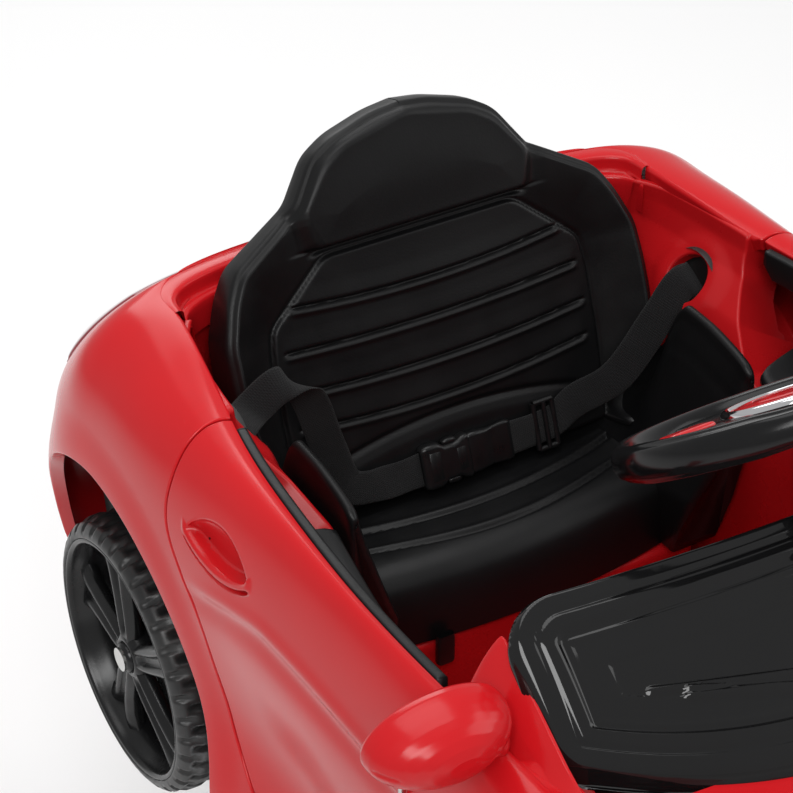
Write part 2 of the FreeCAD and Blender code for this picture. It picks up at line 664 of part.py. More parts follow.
# ---------------------------------------------------------------- dashboard and controls
dash = prism([(357, 406), (346, 399), (341, 380), (344, 330), (352, 304), (428, 304), (428, 352), (372, 396)], -163, 163)
dash = dash.cut(prism([(358, 390), (351, 378), (352, 334), (359, 310), (422, 310), (422, 346), (372, 383)], -158, 158))
dash = dash.cut(Part.makeCylinder(25, 200, steer_top + steer_dir * 20, steer_dir))
dash = dash.cut(Part.makeCylinder(11.4, 30, P(-112, 330, 352), V(0, -1, 0)))
dash = dash.cut(box(97.5, 126.5, 330, 356, 335.5, 368.5)).removeSplitter()
start_button = Part.makeCylinder(11.0, 20, P(-112, 337, 352), V(0, -1, 0)).fuse(
    Part.makeCylinder(13.5, 2.0, P(-112, 355, 352), V(0, -1, 0)))
rocker = prism([(337, 366), (341.5, 352), (337, 338), (350, 343), (350, 361)], 98.2, 125.8)
rocker_axis = cyl_x(95, 129, 347, 352, 2.0)
dash = dash.fuse(rocker_axis)
rocker = rocker.cut(cyl_x(90, 130, 347, 352, 2.06))
boot = Part.makeCone(24.4, 14, 44, steer_top + steer_dir * 92, steer_dir * -1)
boot = boot.cut(Part.makeCylinder(7.6, 160, steer_top + steer_dir * 120, steer_dir * -1))
column = Part.makeCylinder(7.0, 90, steer_top + steer_dir * 22, steer_dir).fuse(
    Part.makeCylinder(5.0, 400, steer_top + steer_dir * 30, steer_dir)).removeSplitter()

# steering wheel, built about its own axis then laid in place
R0 = STEER_R - STEER_TUBE
sec = []
for i in range(24):
    t = 2 * math.pi * i / 24
    sec.append((STEER_TUBE * math.cos(t), 12.5 * math.sin(t) - 4.0))
ring = Part.Face(Part.makePolygon([V(R0 + a, 0, b) for a, b in sec + sec[:1]])).revolve(V(0, 0, 0), V(0, 0, 1), 360)
hub = Part.makeCylinder(46, 20, V(0, 0, -20))
hub = hub.makeFillet(4, hub.Edges)
bar = Part.makeBox(2 * R0 - 6, 42, 12, V(-R0 + 3, -19, -14))
bar2 = Part.makeBox(44, R0 - 3, 11, V(-22, 0, -13.5))
wheel = ring.fuse([hub, bar, bar2]).removeSplitter()
wheel = wheel.cut(Part.makeCylinder(7.02, 14, V(0, 0, -22)))
for s in (-1, 1):
    wheel = wheel.cut(Part.makeBox(33, 18, 12, V(s * 72 - 16.5, -7, -10)))
hub_cover = Part.makeCylinder(43, 5, V(0, 0, 0.0))
hub_cover = hub_cover.makeFillet(1.5, [hub_cover.Edges[0]])


def horn_button(s):
    return Part.makeBox(32.2, 17.2, 8.5, V(s * 72 - 16.1, -6.6, -7.0))


def lay(shape):
    s = shape.copy()
    s.rotate(V(0, 0, 0), V(1, 0, 0), -STEER_TILT)
    s.translate(steer_top)
    return s


# accelerator pedal, hinged on a pin across the floor of the footwell
pedal = prism([(398, 92), (402, 92), (415, 150), (410, 152)], -92, -52)
pedal = pedal.fuse(cyl_x(-92, -52, 401, 94.5, 5.0)).removeSplitter().cut(cyl_x(-100, -40, 401, 94.5, 2.06))
pedal_seat = box(-97, -92.6, 394, 408, 86, 101).fuse(box(-51.4, -47, 394, 408, 86, 101))
pedal_pin = cyl_x(-97, -47, 401, 94.5, 2.0)
tub = tub.fuse([pedal_seat, pedal_pin]).removeSplitter()
screen = screen.cut(Part.makeCylinder(25.4, 160, steer_top + steer_dir * 20, steer_dir))

# ---------------------------------------------------------------- running gear
rear_axle = cyl_x(-254, 254, REAR_F, WHEEL_R, 5.0).fuse(
    [cyl_x(253.4, 257, REAR_F, WHEEL_R, 9.0), cyl_x(-257, -253.4, REAR_F, WHEEL_R, 9.0)]).removeSplitter()


def wheel_parts(s, f):
    """Tyre and spoked rim of one wheel; s is the side."""
    x_out, x_in = WHEEL_FACE, WHEEL_FACE - WHEEL_W
    prof = [(x_in, 92), (x_in, 98), (x_in + 6, 103.5), (x_in + 14, WHEEL_R), (x_out - 12, WHEEL_R),
            (x_out - 4, 101), (x_out, 96), (x_out, 92)]
    w = Part.makePolygon([V(x, 0, r) for x, r in prof] + [V(prof[0][0], 0, prof[0][1])])
    tyre = Part.Face(w).revolve(V(0, 0, 0), V(1, 0, 0), 360)
    rp = [(x_in + 4, 86), (x_in + 4, 92.0), (x_out, 92.0), (x_out, 88), (x_out - 8, 84), (x_out - 22, 80), (x_in + 20, 80)]
    w = Part.makePolygon([V(x, 0, r) for x, r in rp] + [V(rp[0][0], 0, rp[0][1])])
    rim = Part.Face(w).revolve(V(0, 0, 0), V(1, 0, 0), 360)
    bits = [Part.makeCylinder(20, 34, V(x_out - 40, 0, 0), V(1, 0, 0)),
            Part.makeCylinder(15, 36, V(x_in + 2, 0, 0), V(1, 0, 0))]
    for k in range(5):
        for o in (-1, 1):
            sp = Part.makeBox(12, 9, 74, V(x_out - 20, -4.5 + o * 8, 10))
            sp.rotate(V(0, o * 8, 10), V(1, 0, 0), -o * 6)
            sp.rotate(V(0, 0, 0), V(1, 0, 0), 72 * k)
            bits.append(sp)
    rim = rim.fuse(bits).removeSplitter()
    rim = rim.cut(Part.makeCylinder(5.06, 80, V(x_in - 5, 0, 0), V(1, 0, 0)))
    rim = rim.cut(Part.makeCylinder(10, 20, V(x_out - 5.2, 0, 0), V(1, 0, 0)))
    out = []
    for sh in (tyre, rim):
        if s < 0:
            sh = mirror_x(sh)
        sh = sh.copy()
        sh.translate(P(0, f, WHEEL_R))
        out.append(sh)
    return out


def knuckle(s):
    k = Part.makeCylinder(12, 27, P(KING_X, FRONT_F, 92.5), V(0, 0, 1))
    k = k.fuse([Part.makeCylinder(5.0, 58, P(KING_X, FRONT_F, 73), V(0, 0, 1)),
                cyl_x(KING_X, 254, FRONT_F, WHEEL_R, 5.0), cyl_x(253.4, 257, FRONT_F, WHEEL_R, 9.0),
                box(KING_X - 6, KING_X + 6, FRONT_F - 46, FRONT_F, 94, 101),
                Part.makeCylinder(4.0, 22, P(KING_X, FRONT_F - 40, 94), V(0, 0, 1))]).removeSplitter()
    return k if s > 0 else mirror_x(k)


tie = box(-192, 192, FRONT_F - 48, FRONT_F - 32, 103, 110)
for s in (-1, 1):
    tie = tie.cut(box(s * KING_X - 4.9, s * KING_X + 4.9, FRONT_F - 45, FRONT_F - 31.0, 100, 120))
    tie = tie.fuse(box(s * KING_X - 9, s * KING_X + 9, FRONT_F - 34, FRONT_F - 28, 103, 110)).removeSplitter()
    tie = tie.cut(box(s * KING_X - 4.9, s * KING_X + 4.9, FRONT_F - 45, FRONT_F - 31.0, 100, 120))

# ---------------------------------------------------------------- doors
dpatch = body_patch(u_of_f(40), u_of_f(DOOR_F), 0.12, 1.0, 24, 12)
door_skin = dpatch.common(prism(door_in, 0, 330))
lin_out = [(62, 362.0), (65, 344), (63, 318), (67, 302), (83, 282), (101, 253), (110, 215), (124, 172),
           (140, 152), (156, 145), (240, 142), (312, 144), (320, 156), (324, 200), (326, 300), (327, 362.0)]
lining = body_patch(u_of_f(50), u_of_f(332), 0.18, 1.0, 22, 12, -WALL - 0.2, WALL + 10.0)
lining = lining.common(prism(lin_out, 0, 330))
print("lining", lining.isValid(), len(lining.Solids))
pins = []
for z in (300, 185):
    ear = box(241.0, 257.5, 322, 337.2, z - 8, z).fuse(Part.makeCylinder(3.6, 8, P(HINGE_X, HINGE_F, z - 8), V(0, 0, 1)))
    ear = ear.cut(Part.makeCylinder(1.55, 30, P(HINGE_X, HINGE_F, z - 20), V(0, 0, 1)))
    door_skin = door_skin.cut(box(235, 262, 321, 345, z - 8.4, z + 0.4)).cut(box(244, 264, 333.4, 345, z - 16.9, z + 8.5))
    lining = lining.fuse(ear)
    for s in (-1, 1):
        pins.append(Part.makeCylinder(1.5, 30, P(s * HINGE_X, HINGE_F, z - 19), V(0, 0, 1)))
strip = []
for f in (65, 95, 140, 190, 240, 290, 326):
    xc = BODY.at(u_of_f(f), 1.0)[0]
    strip.append([(xc - 7.5, f, 345), (xc - 0.6, f, 345), (xc - 0.6, f, 366.3), (xc - 7.5, f, 366.3)])
lining = lining.fuse(loft(strip)).removeSplitter()
hinge_seat = []
for z in (300, 185):
    for dz in (-16, 1.2):
        e = box(241, 257.5, 338.8, 352, z + dz, z + dz + 6.5).fuse(
            Part.makeCylinder(3.6, 6.5, P(HINGE_X, HINGE_F, z + dz), V(0, 0, 1)))
        hinge_seat.append(e.cut(Part.makeCylinder(1.5, 30, P(HINGE_X, HINGE_F, z - 20), V(0, 0, 1))))

# ---------------------------------------------------------------- mirrors
def oval(cx, cf, cz, rx, rz, n=28):
    """Oval outline across the car at station cf."""
    return [(cx + rx * math.cos(2 * math.pi * i / n), cf, cz + rz * math.sin(2 * math.pi * i / n)) for i in range(n)]


MIR_X, MIR_Z = 259.0, 384.0
mir = loft([oval(MIR_X, 372, MIR_Z, 42.5, 24), oval(MIR_X, 378, MIR_Z, 43, 25), oval(MIR_X, 388, MIR_Z, 41, 23.5),
            oval(MIR_X - 1, 398, MIR_Z, 34, 19), oval(MIR_X - 2, 406, MIR_Z, 22, 12)])
mir = mir.cut(loft([oval(MIR_X, 370, MIR_Z, 38, 19.5), oval(MIR_X, 377, MIR_Z, 38, 19.5)]))
mir = mir.fuse(loft([[(225.5, 378, 366.8), (240, 378, 361.6), (240, 394, 361.6), (225.5, 394, 366.8)],
                     [(232, 378, 374), (252, 378, 374), (252, 394, 374), (232, 394, 374)]])).removeSplitter()
mir_glass = loft([oval(MIR_X, 374, MIR_Z, 37.6, 19.1), oval(MIR_X, 376.6, MIR_Z, 37.6, 19.1)])

# ---------------------------------------------------------------- lamps and grille
tail_lamp = body_patch(u_of_f(-60) - (u_of_f(-60) - U_REAR) * 0.84, u_of_f(-60) - (u_of_f(-60) - U_REAR) * 0.27, 0.67, 0.86, 12, 6, 3.4, -0.5)
head_lamp = body_patch(U_MID - (U_MID - u_of_f(650)) * 0.90, U_MID - (U_MID - u_of_f(650)) * 0.42, 0.66, 0.90, 12, 6, 3.2, -0.5)
grille = body_patch(U_MID - (U_MID - u_of_f(650)) * 0.42, U_MID + (U_MID - u_of_f(650)) * 0.42, 0.12, 0.44, 14, 6, 3.2, -0.5)

# ---------------------------------------------------------------- pedestal (heights above the floor)
def turn(profile):
    w = Part.makePolygon([V(r, 0, z) for r, z in profile] + [V(profile[0][0], 0, profile[0][1])])
    return Part.Face(w).revolve(V(0, 0, 0), V(0, 0, 1), 360)


def bolt(x, y, z0, z1, r, head_r, head_h, up=1):
    """Hex bolt with its shank from z0 to z1 and its head beyond z1 (up) or below z0 (down)."""
    b = Part.makeCylinder(r, z1 - z0, V(x, y, z0))
    pts = [V(x + head_r * math.cos(math.radians(60 * i)), y + head_r * math.sin(math.radians(60 * i)), z1 if up > 0 else z0 - head_h) for i in range(7)]
    return b.fuse(Part.Face(Part.makePolygon(pts)).extrude(V(0, 0, head_h)))


base_ring = turn([(262, 0), (262, 6), (286, 6), (286, 0)])
base = turn([(80, 6), (80, 45), (122, 45), (134, 41), (200, 27), (262, 17), (282, 12), (289, 9), (290, 6.5), (290, 3), (286.4, 3), (286.4, 6), (261.6, 6), (200, 6)])
housing = turn([(0, 0), (0, 40), (PISTON_R + 0.06, 40), (PISTON_R + 0.06, 186), (66, 186), (74, 178), (74, 62), (79.6, 56), (112, 56), (114, 54), (114, 45), (79.8, 45), (79.8, 0)])
sleeve = turn([(PISTON_R + 0.06, 186.2), (PISTON_R + 0.06, 296), (SLEEVE_R - 5, 300), (SLEEVE_R, 295), (SLEEVE_R, 200), (60, 192), (64, 186.2)])
gear_block = Part.makeBox(56, 46, 58, V(-28, 66, 62)).cut(Part.makeBox(25, 60, 80, V(-12.5, 80, 50)))
lever_axis = V(0, 97, 104)
gear_block = gear_block.cut(Part.makeCylinder(6.0, 80, V(-40, 97, 104), V(1, 0, 0)))
housing = housing.fuse(gear_block).removeSplitter()
housing = housing.cut(Part.makeCylinder(PISTON_R + 0.06, 200, V(0, 0, 40)))
lever_pin = Part.makeCylinder(6.0, 64, V(-32, 97, 104), V(1, 0, 0))
house_bolts = [bolt(95 * math.cos(math.radians(45 + 90 * i)), 95 * math.sin(math.radians(45 + 90 * i)), 30, 56.0, 5.0, 9.0, 6.0) for i in range(4)]
for i in range(4):
    c = V(95 * math.cos(math.radians(45 + 90 * i)), 95 * math.sin(math.radians(45 + 90 * i)), 20)
    housing = housing.cut(Part.makeCylinder(5.0, 60, c))
    base = base.cut(Part.makeCylinder(5.0, 60, V(c.x, c.y, 30)))
lever = Part.makeCylinder(12, 24, V(-12, 97, 104), V(1, 0, 0))
arm_pts = [(97, 104), (150, 122), (230, 112), (318, 88)]
for (y0, z0), (y1, z1) in zip(arm_pts, arm_pts[1:]):
    d = V(0, y1 - y0, z1 - z0)
    seg = Part.makeCylinder(8.5, d.Length, V(0, y0, z0), d)
    lever = lever.fuse([seg, Part.makeSphere(8.5, V(0, y1, z1))])
lever = lever.fuse(Part.makeBox(84, 30, 8, V(-42, 312, 82))).removeSplitter()
lever = lever.cut(Part.makeCylinder(6.06, 60, V(-30, 97, 104), V(1, 0, 0)))
lever_pad = Part.makeBox(88, 36, 14, V(-44, 309, 79)).cut(Part.makeBox(84.4, 30.4, 8.4, V(-42.2, 311.8, 81.8))).cut(
    Part.makeBox(22, 8, 20, V(-11, 300, 76)))
lever_pad = lever_pad.cut(lever)

TOP_Z = LIFT_Z + 70.0    # underside of the car's tray, chair lowered
piston = Part.makeCylinder(PISTON_R, TOP_Z - 26 - 46, V(0, 0, 46))
hub_cup = turn([(0, TOP_Z - 26), (0, TOP_Z - 14), (14, TOP_Z - 14), (14, TOP_Z - 8), (46, TOP_Z - 8), (50, TOP_Z - 12), (50, TOP_Z - 26), (46, TOP_Z - 30), (PISTON_R + 0.01, TOP_Z - 30), (PISTON_R + 0.01, TOP_Z - 26)])
spindle = Part.makeCylinder(13.95, 11, V(0, 0, TOP_Z - 13.6))
frame = Part.makeBox(230, 230, 7, V(-115, -115, TOP_Z - 7)).fuse([
    Part.makeBox(330, 26, 7, V(-165, -13, TOP_Z - 7)), Part.makeBox(26, 420, 7, V(-13, -210, TOP_Z - 7)), spindle])
frame_bolts = []
for sx in (-1, 1):
    for sy in (-1, 1):
        frame = frame.cut(Part.makeCylinder(4.0, 30, V(sx * 80, sy * 80, TOP_Z - 20)))
        frame_bolts.append(bolt(sx * 80, sy * 80, TOP_Z - 7.0, TOP_Z + 12.5, 4.0, 7.5, 5.0, -1))

if __name__ == "__main__":
    for z in (300, 185):
        notch = box(240, 264, 338, 343.5, z - 8.9, z + 0.9)
        body_front = body_front.cut([notch, mirror_x(notch)])
    body_front = body_front.fuse(hinge_seat + [mirror_x(h) for h in hinge_seat])
    wheels = []
    for nm, s, f in (("rear_left", 1, REAR_F), ("rear_right", -1, REAR_F),
                     ("front_left", 1, FRONT_F), ("front_right", -1, FRONT_F)):
        t, r = wheel_parts(s, f)
        wheels += [("tyre_" + nm, t), ("rim_" + nm, r)]
    for nm, sh in [
        ("base_plate", base), ("base_ring", base_ring), ("pump_housing", housing), ("pump_sleeve", sleeve),
        ("housing_bolts", Part.makeCompound(house_bolts)), ("lever_pin", lever_pin), ("pump_lever", lever),
        ("lever_pad", lever_pad), ("piston", piston), ("swivel_hub", hub_cup), ("mount_frame", frame),
        ("frame_bolts", Part.makeCompound(frame_bolts)),
        ("chassis", chassis), ("body_rear", body_rear), ("body_front", body_front), ("cockpit_tub", tub),
        ("seat_shell", seat), ("belt_right", belt_r), ("belt_left", belt_l), ("buckle_socket", socket),
        ("buckle_plug", plug), ("belt_slider", slider), ("windshield_panel", screen), ("dashboard", dash),
        ("column_boot", boot), ("taillight_left", tail_lamp), ("taillight_right", mirror_x(tail_lamp)),
        ("headlight_left", head_lamp), ("headlight_right", mirror_x(head_lamp)), ("grille", grille),
        ("rear_axle", rear_axle), ("mirror_left", mir), ("mirror_right", mirror_x(mir)),
        ("mirror_glass_left", mir_glass), ("mirror_glass_right", mirror_x(mir_glass)),
        ("steering_wheel", lay(wheel)), ("wheel_hub_cover", lay(hub_cover)), ("steering_column", column),
        ("horn_button_left", lay(horn_button(1))), ("horn_button_right", lay(horn_button(-1))),
        ("start_button", start_button), ("gear_rocker", rocker), ("foot_pedal", pedal),
        ("knuckle_left", knuckle(1)), ("knuckle_right", knuckle(-1)), ("tie_rod", tie),
        ("door_skin_left", door_skin), ("door_skin_right", mirror_x(door_skin)),
        ("door_lining_left", lining), ("door_lining_right", mirror_x(lining)),
        ("door_hinge_pins", Part.makeCompound(pins)),
    ] + wheels:
        save(sh, nm)
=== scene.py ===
import bpy
import bmesh
import math
import numpy as np
from mathutils import Vector, Matrix


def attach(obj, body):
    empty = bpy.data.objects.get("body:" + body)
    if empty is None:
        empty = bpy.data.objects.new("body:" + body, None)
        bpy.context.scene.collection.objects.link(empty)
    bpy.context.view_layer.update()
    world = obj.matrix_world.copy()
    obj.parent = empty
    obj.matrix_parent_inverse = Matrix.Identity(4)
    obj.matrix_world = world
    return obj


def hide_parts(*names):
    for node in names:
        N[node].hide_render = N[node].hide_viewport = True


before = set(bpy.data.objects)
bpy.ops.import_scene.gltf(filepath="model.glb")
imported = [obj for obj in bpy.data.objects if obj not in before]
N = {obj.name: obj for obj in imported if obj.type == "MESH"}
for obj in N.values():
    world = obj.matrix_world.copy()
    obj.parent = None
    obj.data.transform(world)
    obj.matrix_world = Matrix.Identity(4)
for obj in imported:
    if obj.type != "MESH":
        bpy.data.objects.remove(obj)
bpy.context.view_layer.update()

# Car coordinates: x to the car's left, f ahead of the seat bight, z above the wheel bottoms, all in mm.
COL_F, LIFT_Z = 240.0, 280.0
WALL = 3.5
WHEEL_R, WHEEL_W, WHEEL_FACE = 105.0, 58.0, 258.0
REAR_F, FRONT_F = -53.0, 570.0
ARCH_R = 150.0
RECLINE, BIGHT_Z = math.radians(20), 202.0
STEER_F, STEER_Z, STEER_R, STEER_TUBE = 337.0, 478.0, 109.0, 8.5
STEER_TILT = math.radians(37.5)


def W(p):
    """Car coordinates in mm to the frame's metres."""
    p = np.asarray(p, float)
    return np.stack([p[..., 0], COL_F - p[..., 1], p[..., 2] + LIFT_Z], -1) / 1000.0


def smooth(a, b, x):
    t = np.clip((np.asarray(x, float) - a) / (b - a), 0, 1)
    return t * t * (3 - 2 * t)


# ------------------------------------------------------------------ materials
def new_mat(name):
    m = bpy.data.materials.new(name)
    m.use_nodes = True
    nt = m.node_tree
    nt.nodes.clear()
    out = nt.nodes.new("ShaderNodeOutputMaterial")
    b = nt.nodes.new("ShaderNodeBsdfPrincipled")
    nt.links.new(b.outputs[0], out.inputs[0])
    return m, nt, b


def noise(nt, scale, detail=3.0, rough=0.5, coord=None):
    if coord is None:
        tc = nt.nodes.new("ShaderNodeTexCoord")
        coord = tc.outputs["Object"]
    n = nt.nodes.new("ShaderNodeTexNoise")
    n.inputs["Scale"].default_value = scale
    n.inputs["Detail"].default_value = detail
    n.inputs["Roughness"].default_value = rough
    nt.links.new(coord, n.inputs["Vector"])
    return n.outputs[0]


def remap(nt, val, lo, hi, a=0.3, b=0.7):
    r = nt.nodes.new("ShaderNodeMapRange")
    r.inputs["From Min"].default_value = a
    r.inputs["From Max"].default_value = b
    r.inputs["To Min"].default_value = lo
    r.inputs["To Max"].default_value = hi
    nt.links.new(val, r.inputs["Value"])
    return r.outputs[0]


def mixcol(nt, fac, c0, c1):
    m = nt.nodes.new("ShaderNodeMix")
    m.data_type = "RGBA"
    m.inputs["A"].default_value = (*c0, 1)
    m.inputs["B"].default_value = (*c1, 1)
    nt.links.new(fac, m.inputs["Factor"])
    return m.outputs["Result"]


def bump(nt, b, height, strength, dist=0.001, chain=None):
    n = nt.nodes.new("ShaderNodeBump")
    n.inputs["Strength"].default_value = strength
    n.inputs["Distance"].default_value = dist
    nt.links.new(height, n.inputs["Height"])
    if chain is not None:
        nt.links.new(chain, n.inputs["Normal"])
    nt.links.new(n.outputs[0], b.inputs["Normal"])
    return n.outputs[0]


def plastic(name, c0, c1, r0, r1, grain=900.0, gs=0.05, wave=0.0, spec=0.5, coat=0.0, blot=18.0, edge_highlight=None):
    """Moulded plastic: slow colour and gloss drift, mould grain, a faint sink-mark waviness, and optionally a painted
    highlight on convex edges.
    """
    m, nt, b = new_mat(name)
    tc = nt.nodes.new("ShaderNodeTexCoord").outputs["Object"]
    drift = noise(nt, blot, 4.0, 0.55, tc)
    col = mixcol(nt, remap(nt, drift, 0, 1), c0, c1)
    # convex edges take a lighter colour by pointiness: a painted highlight along crests and rims
    if edge_highlight is not None:
        geo = nt.nodes.new("ShaderNodeNewGeometry")
        edge = remap(nt, geo.outputs["Pointiness"], 0, 1, 0.52, 0.62)
        mm = nt.nodes.new("ShaderNodeMix")
        mm.data_type = "RGBA"
        nt.links.new(edge, mm.inputs["Factor"])
        nt.links.new(col, mm.inputs["A"])
        mm.inputs["B"].default_value = (*edge_highlight, 1)
        col = mm.outputs["Result"]
    nt.links.new(col, b.inputs["Base Color"])
    fine = noise(nt, blot * 2.7, 5.0, 0.6, tc)
    nt.links.new(remap(nt, fine, r0, r1), b.inputs["Roughness"])
    b.inputs["Specular IOR Level"].default_value = spec
    if coat:
        b.inputs["Coat Weight"].default_value = coat
        b.inputs["Coat Roughness"].default_value = 0.06
    ch = None
    if wave:
        ch = bump(nt, b, noise(nt, 9.0, 1.0, 0.4, tc), wave, 0.004)
    if gs:
        bump(nt, b, noise(nt, grain, 2.0, 0.5, tc), gs, 0.0004, ch)
    return m


RED = plastic("red_gloss", (0.560, 0.0090, 0.013), (0.515, 0.0076, 0.0112), 0.16, 0.23, grain=420, gs=0.03, wave=0.05, coat=0.0, blot=6.0, spec=0.30)
RED_IN = plastic("red_moulded", (0.500, 0.0080, 0.011), (0.450, 0.0065, 0.009), 0.24, 0.34, grain=700, gs=0.05, wave=0.04, blot=7.0, spec=0.30)
# the seat's convex edges carry a painted highlight in a lighter black
SEAT = plastic("seat_black", (0.0034, 0.0034, 0.0037), (0.0058, 0.0058, 0.0062), 0.33, 0.46, grain=620, gs=0.18, blot=11.0, spec=0.24, edge_highlight=(0.017, 0.017, 0.018))
LINING = plastic("lining_black", (0.0042, 0.0042, 0.0047), (0.0068, 0.0068, 0.0073), 0.34, 0.46, grain=800, gs=0.14, blot=14.0, spec=0.28)
TRIM = plastic("trim_gloss_black", (0.0042, 0.0042, 0.0046), (0.0068, 0.0068, 0.0072), 0.13, 0.22, grain=500, gs=0.03, wave=0.04, blot=9.0, spec=0.26)
SCREEN = plastic("screen_gloss_black", (0.0040, 0.0040, 0.0043), (0.0062, 0.0062, 0.0065), 0.045, 0.085, grain=300, gs=0.012, wave=0.035, blot=5.0, spec=0.42)
TRAY = plastic("tray_black", (0.012, 0.012, 0.012), (0.020, 0.020, 0.020), 0.45, 0.62, grain=560, gs=0.25, blot=16.0)
RIM = plastic("rim_black", (0.0050, 0.0050, 0.0054), (0.0082, 0.0082, 0.0086), 0.20, 0.30, grain=700, gs=0.06, blot=20.0, spec=0.34)
BUCKLE = plastic("buckle_black", (0.0042, 0.0042, 0.0046), (0.0068, 0.0068, 0.0072), 0.26, 0.38, grain=900, gs=0.10, blot=40.0, spec=0.34)
BUTTON = plastic("button_red", (0.62, 0.016, 0.020), (0.55, 0.012, 0.016), 0.14, 0.22, grain=600, gs=0.03, coat=0.4, blot=40.0)
PUMP = plastic("pump_paint", (0.012, 0.012, 0.013), (0.020, 0.020, 0.021), 0.26, 0.38, grain=260, gs=0.16, coat=0.25, blot=12.0)


def tyre_mat():
    m, nt, b = new_mat("tyre_moulded")
    tc = nt.nodes.new("ShaderNodeTexCoord").outputs["Object"]
    dust = noise(nt, 26.0, 6.0, 0.65, tc)
    nt.links.new(mixcol(nt, remap(nt, dust, 0, 1, 0.42, 0.74), (0.011, 0.011, 0.0115), (0.024, 0.0235, 0.0225)), b.inputs["Base Color"])
    nt.links.new(remap(nt, noise(nt, 60.0, 4.0, 0.5, tc), 0.32, 0.5), b.inputs["Roughness"])
    bump(nt, b, noise(nt, 480.0, 3.0, 0.6, tc), 0.16, 0.0005)
    return m


def metal(name, col, r0, r1, aniso=0.0, axis="Z", scratch=0.08, blot=30.0):
    m, nt, b = new_mat(name)
    tc = nt.nodes.new("ShaderNodeTexCoord").outputs["Object"]
    mp = nt.nodes.new("ShaderNodeMapping")
    s = {"Z": (600, 600, 12), "X": (12, 600, 600), "Y": (600, 12, 600), "": (200, 200, 200)}[axis]
    mp.inputs["Scale"].default_value = s
    nt.links.new(tc, mp.inputs["Vector"])
    streak = noise(nt, 1.0, 3.0, 0.6, mp.outputs[0])
    nt.links.new(mixcol(nt, remap(nt, noise(nt, blot, 4.0, 0.5, tc), 0, 1), col, tuple(c * 0.86 for c in col)), b.inputs["Base Color"])
    nt.links.new(remap(nt, streak, r0, r1), b.inputs["Roughness"])
    b.inputs["Metallic"].default_value = 1.0
    if aniso:
        b.inputs["Anisotropic"].default_value = aniso
    bump(nt, b, streak, scratch, 0.0002)
    return m


TYRE = tyre_mat()
CHROME = metal("chrome", (0.80, 0.80, 0.815), 0.035, 0.11, axis="", scratch=0.015)
BASE_CHROME = metal("base_chrome", (0.78, 0.78, 0.795), 0.06, 0.15, axis="", scratch=0.02, blot=8.0)
STEEL = metal("zinc_steel", (0.60, 0.60, 0.58), 0.22, 0.40, axis="Z", scratch=0.10)
RUBBER = plastic("rubber_black", (0.016, 0.016, 0.016), (0.028, 0.028, 0.027), 0.62, 0.80, grain=420, gs=0.35, blot=20.0)


def webbing_mat():
    """Woven nylon webbing: fine ribs across the strap from a UV running along it in metres."""
    m, nt, b = new_mat("webbing_black")
    uv = nt.nodes.new("ShaderNodeUVMap")
    uv.uv_map = "UVMap"
    sep = nt.nodes.new("ShaderNodeSeparateXYZ")
    nt.links.new(uv.outputs[0], sep.inputs[0])

    def wave(sock, per_m, phase=None):
        mul = nt.nodes.new("ShaderNodeMath")
        mul.operation = "MULTIPLY"
        mul.inputs[1].default_value = per_m * 2 * math.pi
        nt.links.new(sock, mul.inputs[0])
        src = mul.outputs[0]
        if phase is not None:
            ad = nt.nodes.new("ShaderNodeMath")
            ad.operation = "ADD"
            nt.links.new(src, ad.inputs[0])
            nt.links.new(phase, ad.inputs[1])
            src = ad.outputs[0]
        s = nt.nodes.new("ShaderNodeMath")
        s.operation = "SINE"
        nt.links.new(src, s.inputs[0])
        return s.outputs[0]
    across = wave(sep.outputs[0], 760.0)
    flip = nt.nodes.new("ShaderNodeMath")
    flip.operation = "MULTIPLY"
    flip.inputs[1].default_value = 1.6
    nt.links.new(across, flip.inputs[0])
    ribs = wave(sep.outputs[1], 620.0, flip.outputs[0])
    h = nt.nodes.new("ShaderNodeMath")
    h.operation = "MULTIPLY_ADD"
    h.inputs[1].default_value = 0.35
    nt.links.new(across, h.inputs[0])
    nt.links.new(ribs, h.inputs[2])
    fac = remap(nt, h.outputs[0], 0, 1, -1.2, 1.2)
    nt.links.new(mixcol(nt, fac, (0.0022, 0.0022, 0.0025), (0.0105, 0.0105, 0.0112)), b.inputs["Base Color"])
    b.inputs["Roughness"].default_value = 0.78
    b.inputs["Sheen Weight"].default_value = 0.06
    b.inputs["Specular IOR Level"].default_value = 0.25
    b.inputs["Sheen Roughness"].default_value = 0.5
    bump(nt, b, h.outputs[0], 0.55, 0.0006)
    return m


WEB = webbing_mat()


def lens_mat(name, col, alpha_mix=0.0):
    m, nt, b = new_mat(name)
    tc = nt.nodes.new("ShaderNodeTexCoord").outputs["Object"]
    mp = nt.nodes.new("ShaderNodeMapping")
    mp.inputs["Scale"].default_value = (110, 110, 110)
    nt.links.new(tc, mp.inputs["Vector"])
    v = nt.nodes.new("ShaderNodeTexVoronoi")
    v.inputs["Scale"].default_value = 1.0
    nt.links.new(mp.outputs[0], v.inputs["Vector"])
    nt.links.new(mixcol(nt, remap(nt, v.outputs["Distance"], 0, 1, 0.0, 0.9), col, tuple(c * 0.82 for c in col)), b.inputs["Base Color"])
    b.inputs["Roughness"].default_value = 0.07
    b.inputs["Coat Weight"].default_value = 1.0
    b.inputs["Transmission Weight"].default_value = alpha_mix
    b.inputs["IOR"].default_value = 1.49
    bump(nt, b, v.outputs["Distance"], 0.03, 0.0005)
    return m


LENS_RED = lens_mat("lens_red", (0.26, 0.006, 0.018))
LENS_CLEAR = lens_mat("lens_clear", (0.80, 0.83, 0.86), 0.35)


def mirror_mat():
    m, nt, b = new_mat("mirror_face")
    nt.links.new(mixcol(nt, remap(nt, noise(nt, 30.0), 0, 1), (0.80, 0.81, 0.83), (0.74, 0.75, 0.77)), b.inputs["Base Color"])
    b.inputs["Metallic"].default_value = 1.0
    nt.links.new(remap(nt, noise(nt, 90.0), 0.02, 0.06), b.inputs["Roughness"])
    return m


MIRROR = mirror_mat()


